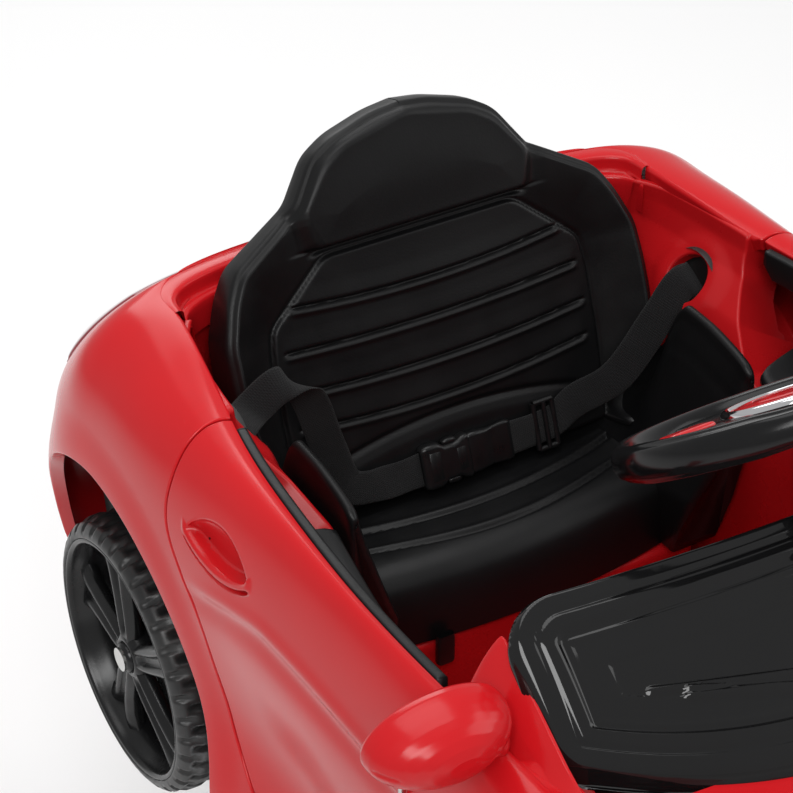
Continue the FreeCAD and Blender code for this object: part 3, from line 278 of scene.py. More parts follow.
# ------------------------------------------------------------------ mesh building
def add(name, verts, faces, mat, body, slot=None, replaces=(), smooth_=True, normals=None, uvs=None, mats=None, face_mat=None, metres=False):
    """One mesh object from car-coordinate points."""
    v = np.asarray(verts, float)
    if not metres:
        v = W(v)
    me = bpy.data.meshes.new(name)
    me.from_pydata(v.tolist(), [], faces)
    me.update()
    for mm in (mats or [mat]):
        me.materials.append(mm)
    if face_mat is not None:
        me.polygons.foreach_set("material_index", np.asarray(face_mat, np.int32))
    if smooth_:
        me.polygons.foreach_set("use_smooth", [True] * len(me.polygons))
    if uvs is not None:
        layer = me.uv_layers.new(name="UVMap")
        li = np.zeros(len(me.loops), np.int32)
        me.loops.foreach_get("vertex_index", li)
        layer.data.foreach_set("uv", np.asarray(uvs, float)[li].reshape(-1))
    if normals is not None:
        n = np.asarray(normals, float)
        n = np.stack([n[:, 0], -n[:, 1], n[:, 2]], -1)
        n /= np.maximum(np.linalg.norm(n, axis=1, keepdims=True), 1e-9)
        me.normals_split_custom_set_from_vertices(n.tolist())
    me.update()
    o = bpy.data.objects.new(name, me)
    bpy.context.scene.collection.objects.link(o)
    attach(o, body)
    if replaces:
        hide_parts(*replaces)
    return o


def grid_faces(nu, nv, cu=False, cv=False, off=0, flip=False):
    out = []
    for i in range(nu if cu else nu - 1):
        for j in range(nv if cv else nv - 1):
            a, b = off + i * nv + j, off + ((i + 1) % nu) * nv + j
            c, d = off + ((i + 1) % nu) * nv + (j + 1) % nv, off + i * nv + (j + 1) % nv
            out.append((a, d, c, b) if flip else (a, b, c, d))
    return out


class Mesh:
    """Collects several grids into one mesh."""

    def __init__(self):
        self.v, self.f, self.m, self.uv = [], [], [], []

    def grid(self, pts, cu=False, cv=False, flip=False, mat=0, uv=None):
        pts = np.asarray(pts, float)
        nu, nv = pts.shape[:2]
        f = grid_faces(nu, nv, cu, cv, len(self.v), flip)
        self.v += pts.reshape(-1, 3).tolist()
        self.uv += (np.asarray(uv, float).reshape(-1, 2) if uv is not None else np.zeros((nu * nv, 2))).tolist()
        self.f += f
        self.m += [mat] * len(f)

    def poly(self, pts, faces, mat=0):
        o = len(self.v)
        self.v += np.asarray(pts, float).tolist()
        self.uv += [[0, 0]] * len(pts)
        self.f += [tuple(i + o for i in q) for q in faces]
        self.m += [mat] * len(faces)

    def out(self, name, mat, body, weld=True, recalc=False, **kw):
        o = add(name, self.v, self.f, mat if not isinstance(mat, list) else mat[0], body,
                mats=mat if isinstance(mat, list) else None, face_mat=self.m, uvs=self.uv if any(u != [0, 0] for u in self.uv[:50]) else None, **kw)
        if weld or recalc:
            bm = bmesh.new()
            bm.from_mesh(o.data)
            if weld:
                bmesh.ops.remove_doubles(bm, verts=bm.verts, dist=1e-5)
            if recalc:
                bmesh.ops.recalc_face_normals(bm, faces=bm.faces)
            bm.to_mesh(o.data)
            bm.free()
        return o


def bevel(o, width, seg=2, angle=40, weighted=True):
    m = o.modifiers.new("bevel", "BEVEL")
    m.width = width / 1000.0
    m.segments = seg
    m.limit_method = "ANGLE"
    m.angle_limit = math.radians(angle)
    m.harden_normals = False
    if weighted:
        w = o.modifiers.new("weighted", "WEIGHTED_NORMAL")
        w.keep_sharp = True
    return o


def subsurf(o, levels=2):
    m = o.modifiers.new("subsurf", "SUBSURF")
    m.levels = levels
    m.render_levels = levels
    return o


def frames(path, up):
    """Tangent, side and up vectors along a path, side = tangent x up."""
    path = np.asarray(path, float)
    t = np.gradient(path, axis=0)
    t /= np.linalg.norm(t, axis=1, keepdims=True)
    up = np.broadcast_to(np.asarray(up, float), path.shape)
    up = up - t * np.sum(up * t, 1, keepdims=True)
    up = up / np.linalg.norm(up, axis=1, keepdims=True)
    return t, np.cross(t, up), up


def catmull(pts, n):
    """Smooth curve through points, n samples, even spacing."""
    p = np.asarray(pts, float)
    ext = np.vstack([2 * p[0] - p[1], p, 2 * p[-1] - p[-2]])
    dense = []
    for i in range(len(p) - 1):
        p0, p1, p2, p3 = ext[i], ext[i + 1], ext[i + 2], ext[i + 3]
        for t in np.linspace(0, 1, 24, endpoint=False):
            dense.append(0.5 * ((2 * p1) + (-p0 + p2) * t + (2 * p0 - 5 * p1 + 4 * p2 - p3) * t * t + (-p0 + 3 * p1 - 3 * p2 + p3) * t ** 3))
    dense.append(p[-1])
    dense = np.array(dense)
    d = np.r_[0, np.cumsum(np.linalg.norm(np.diff(dense, axis=0), axis=1))]
    s = np.linspace(0, d[-1], n)
    return np.stack([np.interp(s, d, dense[:, k]) for k in range(p.shape[1])], -1)


def tube_grid(path, radius, up, n=20, flat=1.0):
    """Tube about a path; radius may vary along it, flat squeezes it along up."""
    t, side, upv = frames(path, up)
    r = np.broadcast_to(np.asarray(radius, float), (len(path),))
    a = np.linspace(0, 2 * np.pi, n, endpoint=False)
    return (np.asarray(path)[:, None] + side[:, None] * (np.cos(a)[None, :, None] * r[:, None, None])
            + upv[:, None] * (np.sin(a)[None, :, None] * r[:, None, None] * flat))


def sweep(path, prof, up):
    """Profile points (side, up) carried along a path."""
    t, side, upv = frames(path, up)
    prof = np.asarray(prof, float)
    if prof.ndim == 2:
        prof = np.broadcast_to(prof, (len(path),) + prof.shape)
    return np.asarray(path)[:, None] + side[:, None] * prof[..., 0:1] + upv[:, None] * prof[..., 1:2]


def rr_profile(w, h, r, n=5):
    """Rounded rectangle profile centred on the origin."""
    out = []
    for cx, cy, a0 in ((w / 2 - r, h / 2 - r, 0), (-w / 2 + r, h / 2 - r, 90), (-w / 2 + r, -h / 2 + r, 180), (w / 2 - r, -h / 2 + r, 270)):
        for k in range(n + 1):
            a = math.radians(a0 + 90 * k / n)
            out.append((cx + r * math.cos(a), cy + r * math.sin(a)))
    return np.array(out)


def pchip(xs, ys, x):
    xs, ys, x = np.asarray(xs, float), np.asarray(ys, float), np.asarray(x, float)
    h = np.diff(xs)
    d = np.diff(ys) / h
    m = np.zeros_like(ys)
    m[0], m[-1] = d[0], d[-1]
    for i in range(1, len(xs) - 1):
        if d[i - 1] * d[i] > 0:
            m[i] = 3 * (h[i - 1] + h[i]) / ((2 * h[i] + h[i - 1]) / d[i - 1] + (h[i] + 2 * h[i - 1]) / d[i])
    i = np.clip(np.searchsorted(xs, x) - 1, 0, len(xs) - 2)
    t = np.clip((x - xs[i]) / h[i], 0, 1)
    return ((1 + 2 * t) * (1 - t) ** 2 * ys[i] + t * (1 - t) ** 2 * h[i] * m[i] + t * t * (3 - 2 * t) * ys[i + 1] + t * t * (t - 1) * h[i] * m[i + 1])


# ------------------------------------------------------------------ body surface
def bmat(u, k, p=3):
    u = np.minimum(np.maximum(np.asarray(u, float), k[0]), k[-1] - 1e-12)
    k = np.asarray(k, float)
    b = ((k[None, :-1] <= u[:, None]) & (u[:, None] < k[None, 1:])).astype(float)
    for d in range(1, p + 1):
        n = b.shape[1] - 1
        nb = np.zeros((len(u), n))
        for i in range(n):
            if k[i + d] > k[i]:
                nb[:, i] += (u - k[i]) / (k[i + d] - k[i]) * b[:, i]
            if k[i + d + 1] > k[i + 1]:
                nb[:, i] += (k[i + d + 1] - u) / (k[i + d + 1] - k[i + 1]) * b[:, i + 1]
        b = nb
    return b


def knot_vector(par, p=3):
    n = len(par)
    return np.array([par[0]] * (p + 1) + [sum(par[j:j + p]) / p for j in range(1, n - p)] + [par[-1]] * (p + 1))


def chord(points):
    points = np.asarray(points, float)
    d = np.r_[0, np.cumsum(np.linalg.norm(np.diff(points, axis=0), axis=1))]
    return d / d[-1]


class Tensor:
    def __init__(self, grid, pu, pv):
        grid = np.asarray(grid, float)
        self.ku, self.kv = knot_vector(pu), knot_vector(pv)
        iu = np.linalg.inv(bmat(np.asarray(pu), self.ku))
        iv = np.linalg.inv(bmat(np.asarray(pv), self.kv))
        self.poles = np.einsum("ik,jl,klc->ijc", iu, iv, grid)

    def at(self, u, v):
        u, v = np.broadcast_arrays(np.asarray(u, float), np.asarray(v, float))
        sh = u.shape
        q = np.einsum("ki,kj,ijc->kc", bmat(u.ravel(), self.ku), bmat(v.ravel(), self.kv), self.poles, optimize=True)
        return q.reshape(sh + (3,))

    def normal(self, u, v, e=6e-4):
        u, v = np.broadcast_arrays(np.asarray(u, float), np.asarray(v, float))
        v0, v1 = np.clip(v - e, 0, 1), np.clip(v + e, 0, 1)
        n = np.cross(self.at(u + e, v) - self.at(u - e, v), self.at(u, v1) - self.at(u, v0))
        return n / np.maximum(np.linalg.norm(n, axis=-1, keepdims=True), 1e-12)


SIDE_F = [-60, -15, 30, 80, 150, 240, 330, 400, 460, 515, 570, 620, 650]
RING_X = [
    [262, 262, 261, 258, 254, 252, 253, 255, 258, 261, 262, 260, 257],
    [268, 268, 267, 265, 262, 260, 260, 262, 265, 268, 268, 266, 262],
    [269, 269, 267, 263, 258, 256, 257, 261, 266, 269, 270, 268, 264],
    [268, 267, 264, 256, 246, 243, 250, 257, 264, 269, 270, 268, 264],
    [268, 267, 264, 257, 249, 246, 251, 256, 263, 268, 270, 267, 262],
    [268, 267, 265, 261, 257, 254, 252, 255, 261, 266, 268, 264, 258],
    [264, 264, 263, 261, 258, 255, 252, 253, 257, 261, 262, 257, 249],
    [256, 257, 257, 255, 252, 249, 247, 247, 248, 249, 248, 241, 232],
    [234, 237, 240, 242, 242, 241, 239, 237, 234, 230, 226, 218, 208],
    [194, 200, 207, 216, 224, 229, 227, 221, 214, 206, 198, 188, 178],
]
RING_Z = [
    [62] * 13,
    [84] * 13,
    [118] * 13,
    [165] * 13,
    [213, 213, 213, 213, 213, 213, 213, 213, 213, 212, 210, 206, 203],
    [262, 262, 262, 262, 260, 258, 257, 256, 256, 255, 252, 244, 238],
    [305, 305, 304, 302, 300, 298, 297, 296, 294, 291, 286, 275, 266],
    [341, 341, 339, 337, 336, 335, 334, 333, 330, 325, 317, 303, 290],
    [366, 365, 363, 361, 360, 359, 358, 356, 352, 346, 337, 321, 306],
    [378, 375, 370, 367, 366, 366, 366, 363, 357, 350, 341, 325, 310],
]
REAR_END = [-238, -250, -258, -260, -250, -225, -187, -145, -117, -112]
REAR_N = [2.8] * 6 + [3.0, 3.1, 3.7, 4.0]
REAR_Z = [66, 95, 140, 190, 238, 284, 322, 352, 371, 378]
NOSE_END = [776, 792, 800, 803, 801, 796, 789, 779, 769, 760]
NOSE_Z = [62, 84, 112, 142, 168, 192, 211, 226, 236, 241]
REAR_PHI = [0, 18, 35, 50, 63, 74, 83]
NOSE_PHI = REAR_PHI[::-1]


def tail_curve(k, phi):
    """Plan of the tail at level k: half width and station against the sweep angle in degrees."""
    s_, c_ = np.sin(np.radians(phi)), np.cos(np.radians(phi))
    return RING_X[k][0] * s_ ** (2 / REAR_N[k]), SIDE_F[0] - (SIDE_F[0] - REAR_END[k]) * c_ ** (2 / REAR_N[k])


PHI_FINE = np.linspace(0, 90, 1201)


def tail_fraction(k):
    x, f = tail_curve(k, PHI_FINE)
    d = np.r_[0, np.cumsum(np.hypot(np.diff(x), np.diff(f)))]
    return d / d[-1]


TAIL_FR = np.interp(REAR_PHI, PHI_FINE, tail_fraction(5))


def ring_half(k):
    pts = []
    z0 = RING_Z[k][0]
    for ph in np.interp(TAIL_FR, tail_fraction(k), PHI_FINE):
        x, f = tail_curve(k, ph)
        t = math.sin(math.radians(ph)) ** 2
        t = t * t * (3 - 2 * t) * 0.5 + t * 0.5
        pts.append([float(x), float(f), REAR_Z[k] + (z0 - REAR_Z[k]) * t])
    for f, x, z in zip(SIDE_F, RING_X[k], RING_Z[k]):
        pts.append([x, f, z])
    w1, z1, fc = RING_X[k][-1], RING_Z[k][-1], SIDE_F[-1]
    for ph in NOSE_PHI:
        s, c = math.sin(math.radians(ph)), math.cos(math.radians(ph))
        x = w1 * (s ** (2 / 2.5) if s > 0 else 0.0)
        pts.append([x, fc + (NOSE_END[k] - fc) * (c ** (2 / 2.5)), NOSE_Z[k] + (z1 - NOSE_Z[k]) * s * s])
    return pts


EXT = 14
GRID = []
for k in range(10):
    half = ring_half(k)
    loop = half + [[-q[0], q[1], q[2]] for q in half[1:-1]][::-1]
    m = LOOP_N = len(loop)
    GRID.append([loop[(i - EXT) % m] for i in range(m + 2 * EXT + 1)])
GRID = np.array(GRID).transpose(1, 0, 2)
PU = chord(GRID[:, 5])
PV = chord(GRID[EXT + 7])
BODY = Tensor(GRID, PU, PV)
U_REAR, U_MID, U_END = PU[EXT], PU[EXT + LOOP_N // 2], PU[EXT + LOOP_N]
NR = len(REAR_PHI)
_us = np.linspace(PU[EXT + 2], U_MID, 4000)
_fs = BODY.at(_us, 0.5)[:, 1]


def u_of_f(f):
    return float(np.interp(f, _fs, _us))


_t = BODY.normal(u_of_f(150), 0.55)
SGN = 1.0 if _t[0] > 0 else -1.0
DOOR_REAR = [(54, 385), (58, 345), (56, 316), (60, 299), (76, 279), (94, 250), (103, 212), (117, 168), (131, 150)]
DOOR_BOTTOM = [(150, 135), (240, 130), (325, 132)]
DOOR_F, BODY_F = 336.8, 338.4
DOOR = DOOR_REAR + DOOR_BOTTOM + [(337.6, 134), (337.6, 385)]


def poly_dist(px, pz, poly, closed=True):
    """Signed distance to a polygon, positive inside."""
    px, pz = np.asarray(px, float), np.asarray(pz, float)
    best = np.full(px.shape, 1e9)
    inside = np.zeros(px.shape, bool)
    n = len(poly)
    for i in range(n if closed else n - 1):
        x0, z0 = poly[i]
        x1, z1 = poly[(i + 1) % n]
        dx, dz = x1 - x0, z1 - z0
        l2 = dx * dx + dz * dz
        t = np.clip(((px - x0) * dx + (pz - z0) * dz) / l2, 0, 1)
        best = np.minimum(best, np.hypot(px - x0 - t * dx, pz - z0 - t * dz))
        if closed:
            cross = ((z0 > pz) != (z1 > pz)) & (px < (x1 - x0) * (pz - z0) / (z1 - z0 + 1e-12) + x0)
            inside ^= cross
    return np.where(inside, best, -best) if closed else best


def round_poly(poly, r=9.0, n=6):
    """Polygon with its corners rounded by short curves."""
    p = np.asarray(poly, float)
    out = []
    m = len(p)
    for i in range(m):
        a, b, c = p[i - 1], p[i], p[(i + 1) % m]
        la, lc = np.linalg.norm(a - b), np.linalg.norm(c - b)
        ra, rc = min(r, la * 0.48), min(r, lc * 0.48)
        s, e = b + (a - b) / la * ra, b + (c - b) / lc * rc
        for t in np.linspace(0, 1, n):
            out.append(tuple((1 - t) ** 2 * s + 2 * t * (1 - t) * b + t * t * e))
    return out


DOOR_R = round_poly(DOOR, 12)
# rear wheel arch in side view: higher than it is long
ARCH_PTS = [(113, 40), (104, 115), (93, 146), (85, 168), (75, 196), (61, 228), (41, 254), (12, 271), (-22, 280), (-52, 281), (-84, 273), (-114, 255),
            (-138, 233), (-160, 205), (-178, 172), (-190, 130), (-196, 90), (-198, 40)]
ARCH_POLY = round_poly(ARCH_PTS, 18, 5)
# door handle: a leaf-shaped scoop with a bar across its lower edge
H_A, H_B = np.array([79.0, 312.0]), np.array([159.0, 318.0])
H_L = np.linalg.norm(H_B - H_A)
H_T = (H_B - H_A) / H_L
H_N = np.array([-H_T[1], H_T[0]])
if H_N[1] < 0:
    H_N = -H_N


def body_relief(p):
    """Height of the moulded detail above the smooth side surface, by side-view position."""
    f, z = p[..., 1], p[..., 2]
    q = np.stack([f, z], -1) - H_A
    s = (q @ H_T) / H_L
    h = q @ H_N
    env = np.clip(4 * s * (1 - s), 0, 1) * (s > 0) * (s < 1)
    top = 27.0 * env ** 0.75
    bot = -13.0 * env ** 0.85
    in_s = smooth(0.0, 0.10, s) * smooth(0.0, 0.10, 1 - s)
    rel = (h - bot) / np.maximum(top - bot, 1e-6)
    inside = smooth(0.0, 0.10, rel) * smooth(0.0, 0.10, 1 - rel)
    scoop = -9.0 * in_s * inside * smooth(1.02, 0.35, rel) ** 0.6 * np.where(env > 0, 1, 0)
    bar_c = -13.0 * env ** 0.85 + 6.0
    bar = np.exp(-((h - bar_c) / 4.2) ** 4) * smooth(-0.03, 0.03, s) * smooth(-0.03, 0.03, 1 - s)
    d = scoop * (1 - bar) + 1.6 * bar
    # flare around the rear wheel arch, a soft shelf and a shoulder beyond it
    fade = smooth(70, 120, z) * smooth(0.2, 0.6, np.abs(p[..., 0]) / 268.0)
    ra = -poly_dist(f, z, ARCH_POLY)
    rf = np.hypot(f - FRONT_F, z - WHEEL_R) - ARCH_R
    d = d + fade * (3.0 * smooth(34, 4, np.minimum(ra, rf)) - 0.0)
    # lower body crease sweeping forward from under the handle
    zc = pchip([60, 94, 138, 180, 221, 288, 330, 420], [268, 277, 291, 300, 301, 299, 297, 292], f)
    w = smooth(70, 120, f) * smooth(560, 470, f) * smooth(0.85, 0.95, np.abs(p[..., 0]) / 268.0)
    d = d + w * (1.9 * np.exp(-((z - zc - 3) / 7.0) ** 2) - 2.2 * np.exp(-((z - zc + 9) / 11.0) ** 2))
    return d


def skin_point(u, v, relief=True):
    p = BODY.at(u, v)
    if not relief:
        return p
    n = BODY.normal(u, v) * SGN
    return p + n * body_relief(p)[..., None]


def skin_normal(u, v, relief=True, e=4e-4):
    if not relief:
        return BODY.normal(u, v) * SGN
    v0, v1 = np.clip(v - 3 * e, 0, 1), np.clip(v + 3 * e, 0, 1)
    n = np.cross(skin_point(u + e, v) - skin_point(u - e, v), skin_point(u, v1) - skin_point(u, v0)) * SGN
    return n / np.maximum(np.linalg.norm(n, axis=-1, keepdims=True), 1e-12)


def trimmed(us, vs, g, relief=True, x_sign=0):
    """Patch of the body surface where g(point) > 0, its cut edges laid exactly on g = 0."""
    U, V = np.meshgrid(us, vs, indexing="ij")
    nu, nv = U.shape

    def G(u, v):
        return g(BODY.at(u, v))
    g0 = G(U, V)
    UV = np.stack([U, V], -1)
    on = np.zeros((nu, nv), bool)
    cross = {}
    for ax in (0, 1):
        a = (slice(0, nu - 1), slice(None)) if ax == 0 else (slice(None), slice(0, nv - 1))
        b = (slice(1, nu), slice(None)) if ax == 0 else (slice(None), slice(1, nv))
        ch = (g0[a] > 0) != (g0[b] > 0)
        ii = np.argwhere(ch)
        jj = ii + ([1, 0] if ax == 0 else [0, 1])
        pa, pb = UV[ii[:, 0], ii[:, 1]], UV[jj[:, 0], jj[:, 1]]
        ga = g0[ii[:, 0], ii[:, 1]] > 0
        lo, hi = np.zeros(len(ii)), np.ones(len(ii))
        for _ in range(18):
            mid = (lo + hi) / 2
            pm = pa + (pb - pa) * mid[:, None]
            same = (G(pm[:, 0], pm[:, 1]) > 0) == ga
            lo, hi = np.where(same, mid, lo), np.where(same, hi, mid)
        t = (lo + hi) / 2
        cross[ax] = (ii, jj, t, pa + (pb - pa) * t[:, None])
    # vertices close to the cut are moved onto it
    near = {}
    for ax in (0, 1):
        ii, jj, t, pc = cross[ax]
        for k in range(len(ii)):
            for idx, d in ((tuple(ii[k]), t[k]), (tuple(jj[k]), 1 - t[k])):
                if d < 0.28 and (idx not in near or near[idx][0] > d):
                    near[idx] = (d, pc[k])
    for idx, (d, pc) in near.items():
        UV[idx] = pc
        on[idx] = True
    sign = np.where(on, 0, np.where(g0 > 0, 1, -1))
    uvs = UV.reshape(-1, 2).tolist()
    flag = on.reshape(-1).tolist()
    edge_v = {}
    for ax in (0, 1):
        ii, jj, t, pc = cross[ax]
        for k in range(len(ii)):
            a, b = tuple(ii[k]), tuple(jj[k])
            if sign[a] * sign[b] < 0:
                edge_v[(a[0] * nv + a[1], b[0] * nv + b[1])] = len(uvs)
                uvs.append(pc[k].tolist())
                flag.append(True)
    faces = []
    for i in range(nu - 1):
        for j in range(nv - 1):
            c = [(i, j), (i + 1, j), (i + 1, j + 1), (i, j + 1)]
            s = [sign[q] for q in c]
            if max(s) <= 0:
                continue
            if min(s) >= 0:
                faces.append(tuple(q[0] * nv + q[1] for q in c))
                continue
            poly = []
            for a in range(4):
                q, r = c[a], c[(a + 1) % 4]
                qi, ri = q[0] * nv + q[1], r[0] * nv + r[1]
                if s[a] >= 0:
                    poly.append(qi)
                if s[a] * s[(a + 1) % 4] < 0:
                    poly.append(edge_v[(min(qi, ri), max(qi, ri))])
            if len(poly) >= 3:
                faces.append(tuple(poly))
    uvs = np.array(uvs)
    used = np.unique([i for f in faces for i in f])
    remap_ = -np.ones(len(uvs), int)
    remap_[used] = np.arange(len(used))
    faces = [tuple(int(remap_[i]) for i in f) for f in faces]
    uvs, flag = uvs[used], np.array(flag)[used]
    p = skin_point(uvs[:, 0], uvs[:, 1], relief)
    n = skin_normal(uvs[:, 0], uvs[:, 1], relief)
    if SGN < 0:
        faces = [f[::-1] for f in faces]
    # border loops
    count = {}
    for fi, f in enumerate(faces):
        for a in range(len(f)):
            e = (f[a], f[(a + 1) % len(f)])
            key = (min(e), max(e))
            count.setdefault(key, []).append((e, fi))
    nxt = {}
    fc = {}
    for key, ls in count.items():
        if len(ls) == 1:
            e, fi = ls[0]
            nxt[e[0]] = e[1]
            fc[e[0]] = p[list(faces[fi])].mean(0)
    loops = []
    seen = set()
    for s0 in list(nxt):
        if s0 in seen:
            continue
        loop = [s0]
        seen.add(s0)
        while nxt.get(loop[-1]) is not None and nxt[loop[-1]] not in seen:
            loop.append(nxt[loop[-1]])
            seen.add(loop[-1])
        loops.append((loop, nxt.get(loop[-1]) == s0))
    return {"p": p, "n": n, "faces": faces, "uv": uvs, "flag": flag, "loops": loops, "fc": fc}


def rolled(t, radius=1.6, depth=7.0, seg=4, flare=None):
    """Adds a rolled-in edge along every border of a trimmed patch."""
    p, n, faces = t["p"].tolist(), t["n"].tolist(), list(t["faces"])
    P0, N0 = t["p"], t["n"]
    for loop, closed in t["loops"]:
        if len(loop) < 4:
            continue
        q = P0[loop]
        nn = N0[loop]
        if closed:
            tan = np.roll(q, -1, 0) - np.roll(q, 1, 0)
        else:
            tan = np.gradient(q, axis=0)
        tan /= np.maximum(np.linalg.norm(tan, axis=1, keepdims=True), 1e-9)
        o = np.cross(tan, nn)
        o /= np.maximum(np.linalg.norm(o, axis=1, keepdims=True), 1e-9)
        cen = np.array([t["fc"].get(i, P0[i]) for i in loop])
        sg = np.sum(o * (q - cen), 1)
        o *= np.where(np.median(sg) >= 0, 1, -1)
        r = radius(q) if callable(radius) else np.full(len(q), float(radius))
        dp = depth(q) if callable(depth) else np.full(len(q), float(depth))
        prev = list(loop)
        m = len(loop)
        for k in range(1, seg + 2):
            if k <= seg:
                a = math.pi / 2 * k / seg
                pos = q + o * (r * math.sin(a))[:, None] - nn * (r * (1 - math.cos(a)))[:, None]
                nor = nn * math.cos(a) + o * math.sin(a)
            else:
                pos = q + o * r[:, None] - nn * (r + dp)[:, None]
                nor = o
            cur = list(range(len(p), len(p) + m))
            p += pos.tolist()
            n += nor.tolist()
            for a in range(m if closed else m - 1):
                b = (a + 1) % m
                faces.append((prev[b], prev[a], cur[a], cur[b]))
            prev = cur
    return np.array(p), np.array(n), faces


def skin(name, us, vs, g, body, mat, slot, replaces=(), relief=True, radius=1.6, depth=7.0, flip_x=False):
    t = trimmed(us, vs, g, relief)
    p, n, faces = rolled(t, radius, depth)
    if flip_x:
        p, n = p * [-1, 1, 1], n * [-1, 1, 1]
        faces = [f[::-1] for f in faces]
    # the frame mirrors the car's forward axis, so the winding turns over
    faces = [f[::-1] for f in faces]
    return add(name, p, faces, mat, body, slot, replaces, normals=n)


def spaced(*knots):
    """Parameter values from (start, end, count) runs."""
    out = []
    for a, b, n in knots:
        out += list(np.linspace(a, b, n, endpoint=False))
    return np.array(out + [knots[-1][1]])


def arch_gap(p, gap=0.0):
    f, z = p[..., 1], p[..., 2]
    return np.minimum(-poly_dist(f, z, ARCH_POLY), np.hypot(f - FRONT_F, z - WHEEL_R) - ARCH_R) - gap


def door_gap(p, gap):
    """Positive outside the door's outline by more than gap; the outline counts on both sides of the car."""
    return -poly_dist(p[..., 1], p[..., 2], DOOR_R) - gap


# ------------------------------------------------------------------ outer skins
UE = u_of_f(337.2)
UA, UB = 2 * U_REAR - UE, UE
u_r = spaced((UA, 2 * U_REAR - u_of_f(170), 44), (2 * U_REAR - u_of_f(170), 2 * U_REAR - u_of_f(-120), 76), (2 * U_REAR - u_of_f(-120), u_of_f(-120), 110),
             (u_of_f(-120), u_of_f(170), 76), (u_of_f(170), UB, 44))
v_all = np.r_[np.linspace(0, 0.86, 62, endpoint=False), np.linspace(0.86, 1.0, 20)]


def top_radius(q):
    return np.where((q[:, 2] > 370) & (q[:, 1] < -61), 0.3, 1.0) * np.where(q[:, 2] > np.interp(q[:, 1], [-130, 0, 60, 400, 800], [374, 369, 363, 355, 200]), 3.6, 1.7)


def top_depth(q):
    return np.where((q[:, 2] > 370) & (q[:, 1] < -61), 0.05, 1.0) * np.where(q[:, 2] > np.interp(q[:, 1], [-130, 0, 60, 400, 800], [374, 369, 363, 355, 200]), 10.0, 9.0)


skin("shell_rear", u_r, v_all, lambda p: np.minimum(arch_gap(p, 1.7), door_gap(p, 2.3)), "car", RED, "body_red", ["body_rear"],
     radius=lambda q: np.where((-poly_dist(q[:, 1], q[:, 2], DOOR_R) < 4.0) & (-poly_dist(q[:, 1], q[:, 2], DOOR_R) > 0), 1.4, top_radius(q)), depth=top_depth)
U_F0 = u_of_f(BODY_F + 0.2)
u_f = spaced((U_F0, u_of_f(500), 40), (u_of_f(500), u_of_f(645), 40), (u_of_f(645), 2 * U_MID - u_of_f(645), 100),
             (2 * U_MID - u_of_f(645), 2 * U_MID - u_of_f(500), 40), (2 * U_MID - u_of_f(500), 2 * U_MID - U_F0, 40))
skin("shell_front", u_f, v_all, lambda p: np.minimum(arch_gap(p, 1.7), 1e3), "car", RED, "body_red", ["body_front"], radius=1.6, depth=9.0)
u_d = spaced((u_of_f(40), u_of_f(66), 20), (u_of_f(66), u_of_f(172), 150), (u_of_f(172), UB, 62))
v_d = np.r_[np.linspace(0.10, 0.30, 16, endpoint=False), np.linspace(0.30, 0.62, 34, endpoint=False), np.linspace(0.62, 0.86, 84, endpoint=False), np.linspace(0.86, 1.0, 22)]
for side, fx, bd in (("left", False, "door_l"), ("right", True, "door_r")):
    skin("door_panel_" + side, u_d, v_d, lambda p: -door_gap(p, 0.0) - 2.0, bd, RED, "body_red", ["door_skin_" + side], radius=1.2, depth=6.0, flip_x=fx)


# ------------------------------------------------------------------ tail lip, ledge and cabin walls
def superel(w, fr, fc, a, n=2.8):
    s, c = np.sin(a), np.cos(a)
    return np.stack([np.sign(s) * np.abs(s) ** (2 / n) * w, fc - (fc - fr) * np.abs(c) ** (2 / n)], -1)


a_lip = np.radians(np.linspace(-89.5, 89.5, 161))
u_edge = np.linspace(2 * U_REAR - u_of_f(-58), u_of_f(-58), 161)
crest = BODY.at(u_edge, 1.0)
if crest[0, 0] > 0:
    crest = crest[::-1]


def along(curve2d, n=161):
    d = np.r_[0, np.cumsum(np.linalg.norm(np.diff(curve2d, axis=0), axis=1))]
    s = np.linspace(0, d[-1], n)
    return np.stack([np.interp(s, d, curve2d[:, k]) for k in range(curve2d.shape[1])], -1)


O = along(crest)
I2 = along(superel(187.0, -97.4, -54.0, a_lip, 3.8))
L2 = along(superel(183.8, -92.5, -48.0, a_lip, 3.2))
din = np.concatenate([I2 - O[:, :2], np.zeros((161, 1))], 1)
din /= np.linalg.norm(din, axis=1, keepdims=True)
dl = np.concatenate([L2 - I2, np.zeros((161, 1))], 1)
wl = np.linalg.norm(dl, axis=1, keepdims=True)
dl /= wl
I3 = np.concatenate([I2, np.zeros((161, 1))], 1)
L3 = np.concatenate([L2, np.zeros((161, 1))], 1)
zc = O[:, 2:3]
Zv = np.array([0, 0, 1.0])


def row(base, z):
    r = base.copy()
    r[:, 2:3] = z
    return r


O3 = row(O, 0 * zc)
rows = [row(O3 - din * 1.0, zc - 0.5), row(O3 + din * 1.2, zc + 0.1), row(O3 * 0.5 + I3 * 0.5, zc + 0.9), row(I3 - din * 3.2, zc + 0.5),
        row(I3 - din * 1.3, zc - 0.0), row(I3 - din * 0.3, zc - 1.2), row(I3, zc - 3.0), row(I3 + din * 0.5, zc - 7.6), row(I3 + din * 1.2, zc - 9.6),
        row(I3 + din * 2.3, zc - 10.6), row(I3 * 0.55 + L3 * 0.45, zc - 10.9), row(L3 - dl * 1.8, zc - 11.1), row(L3 - dl * 0.6, zc - 11.8),
        row(L3, zc - 13.4), row(L3 + dl * 0.2, zc - 18), row(L3, zc - 34)]
deck = np.array(rows).transpose(1, 0, 2)
M = Mesh()
M.grid(deck, flip=False)
tail = M.out("tail_lip", RED, "car", slot="body_red", recalc=True)
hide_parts("body_rear")


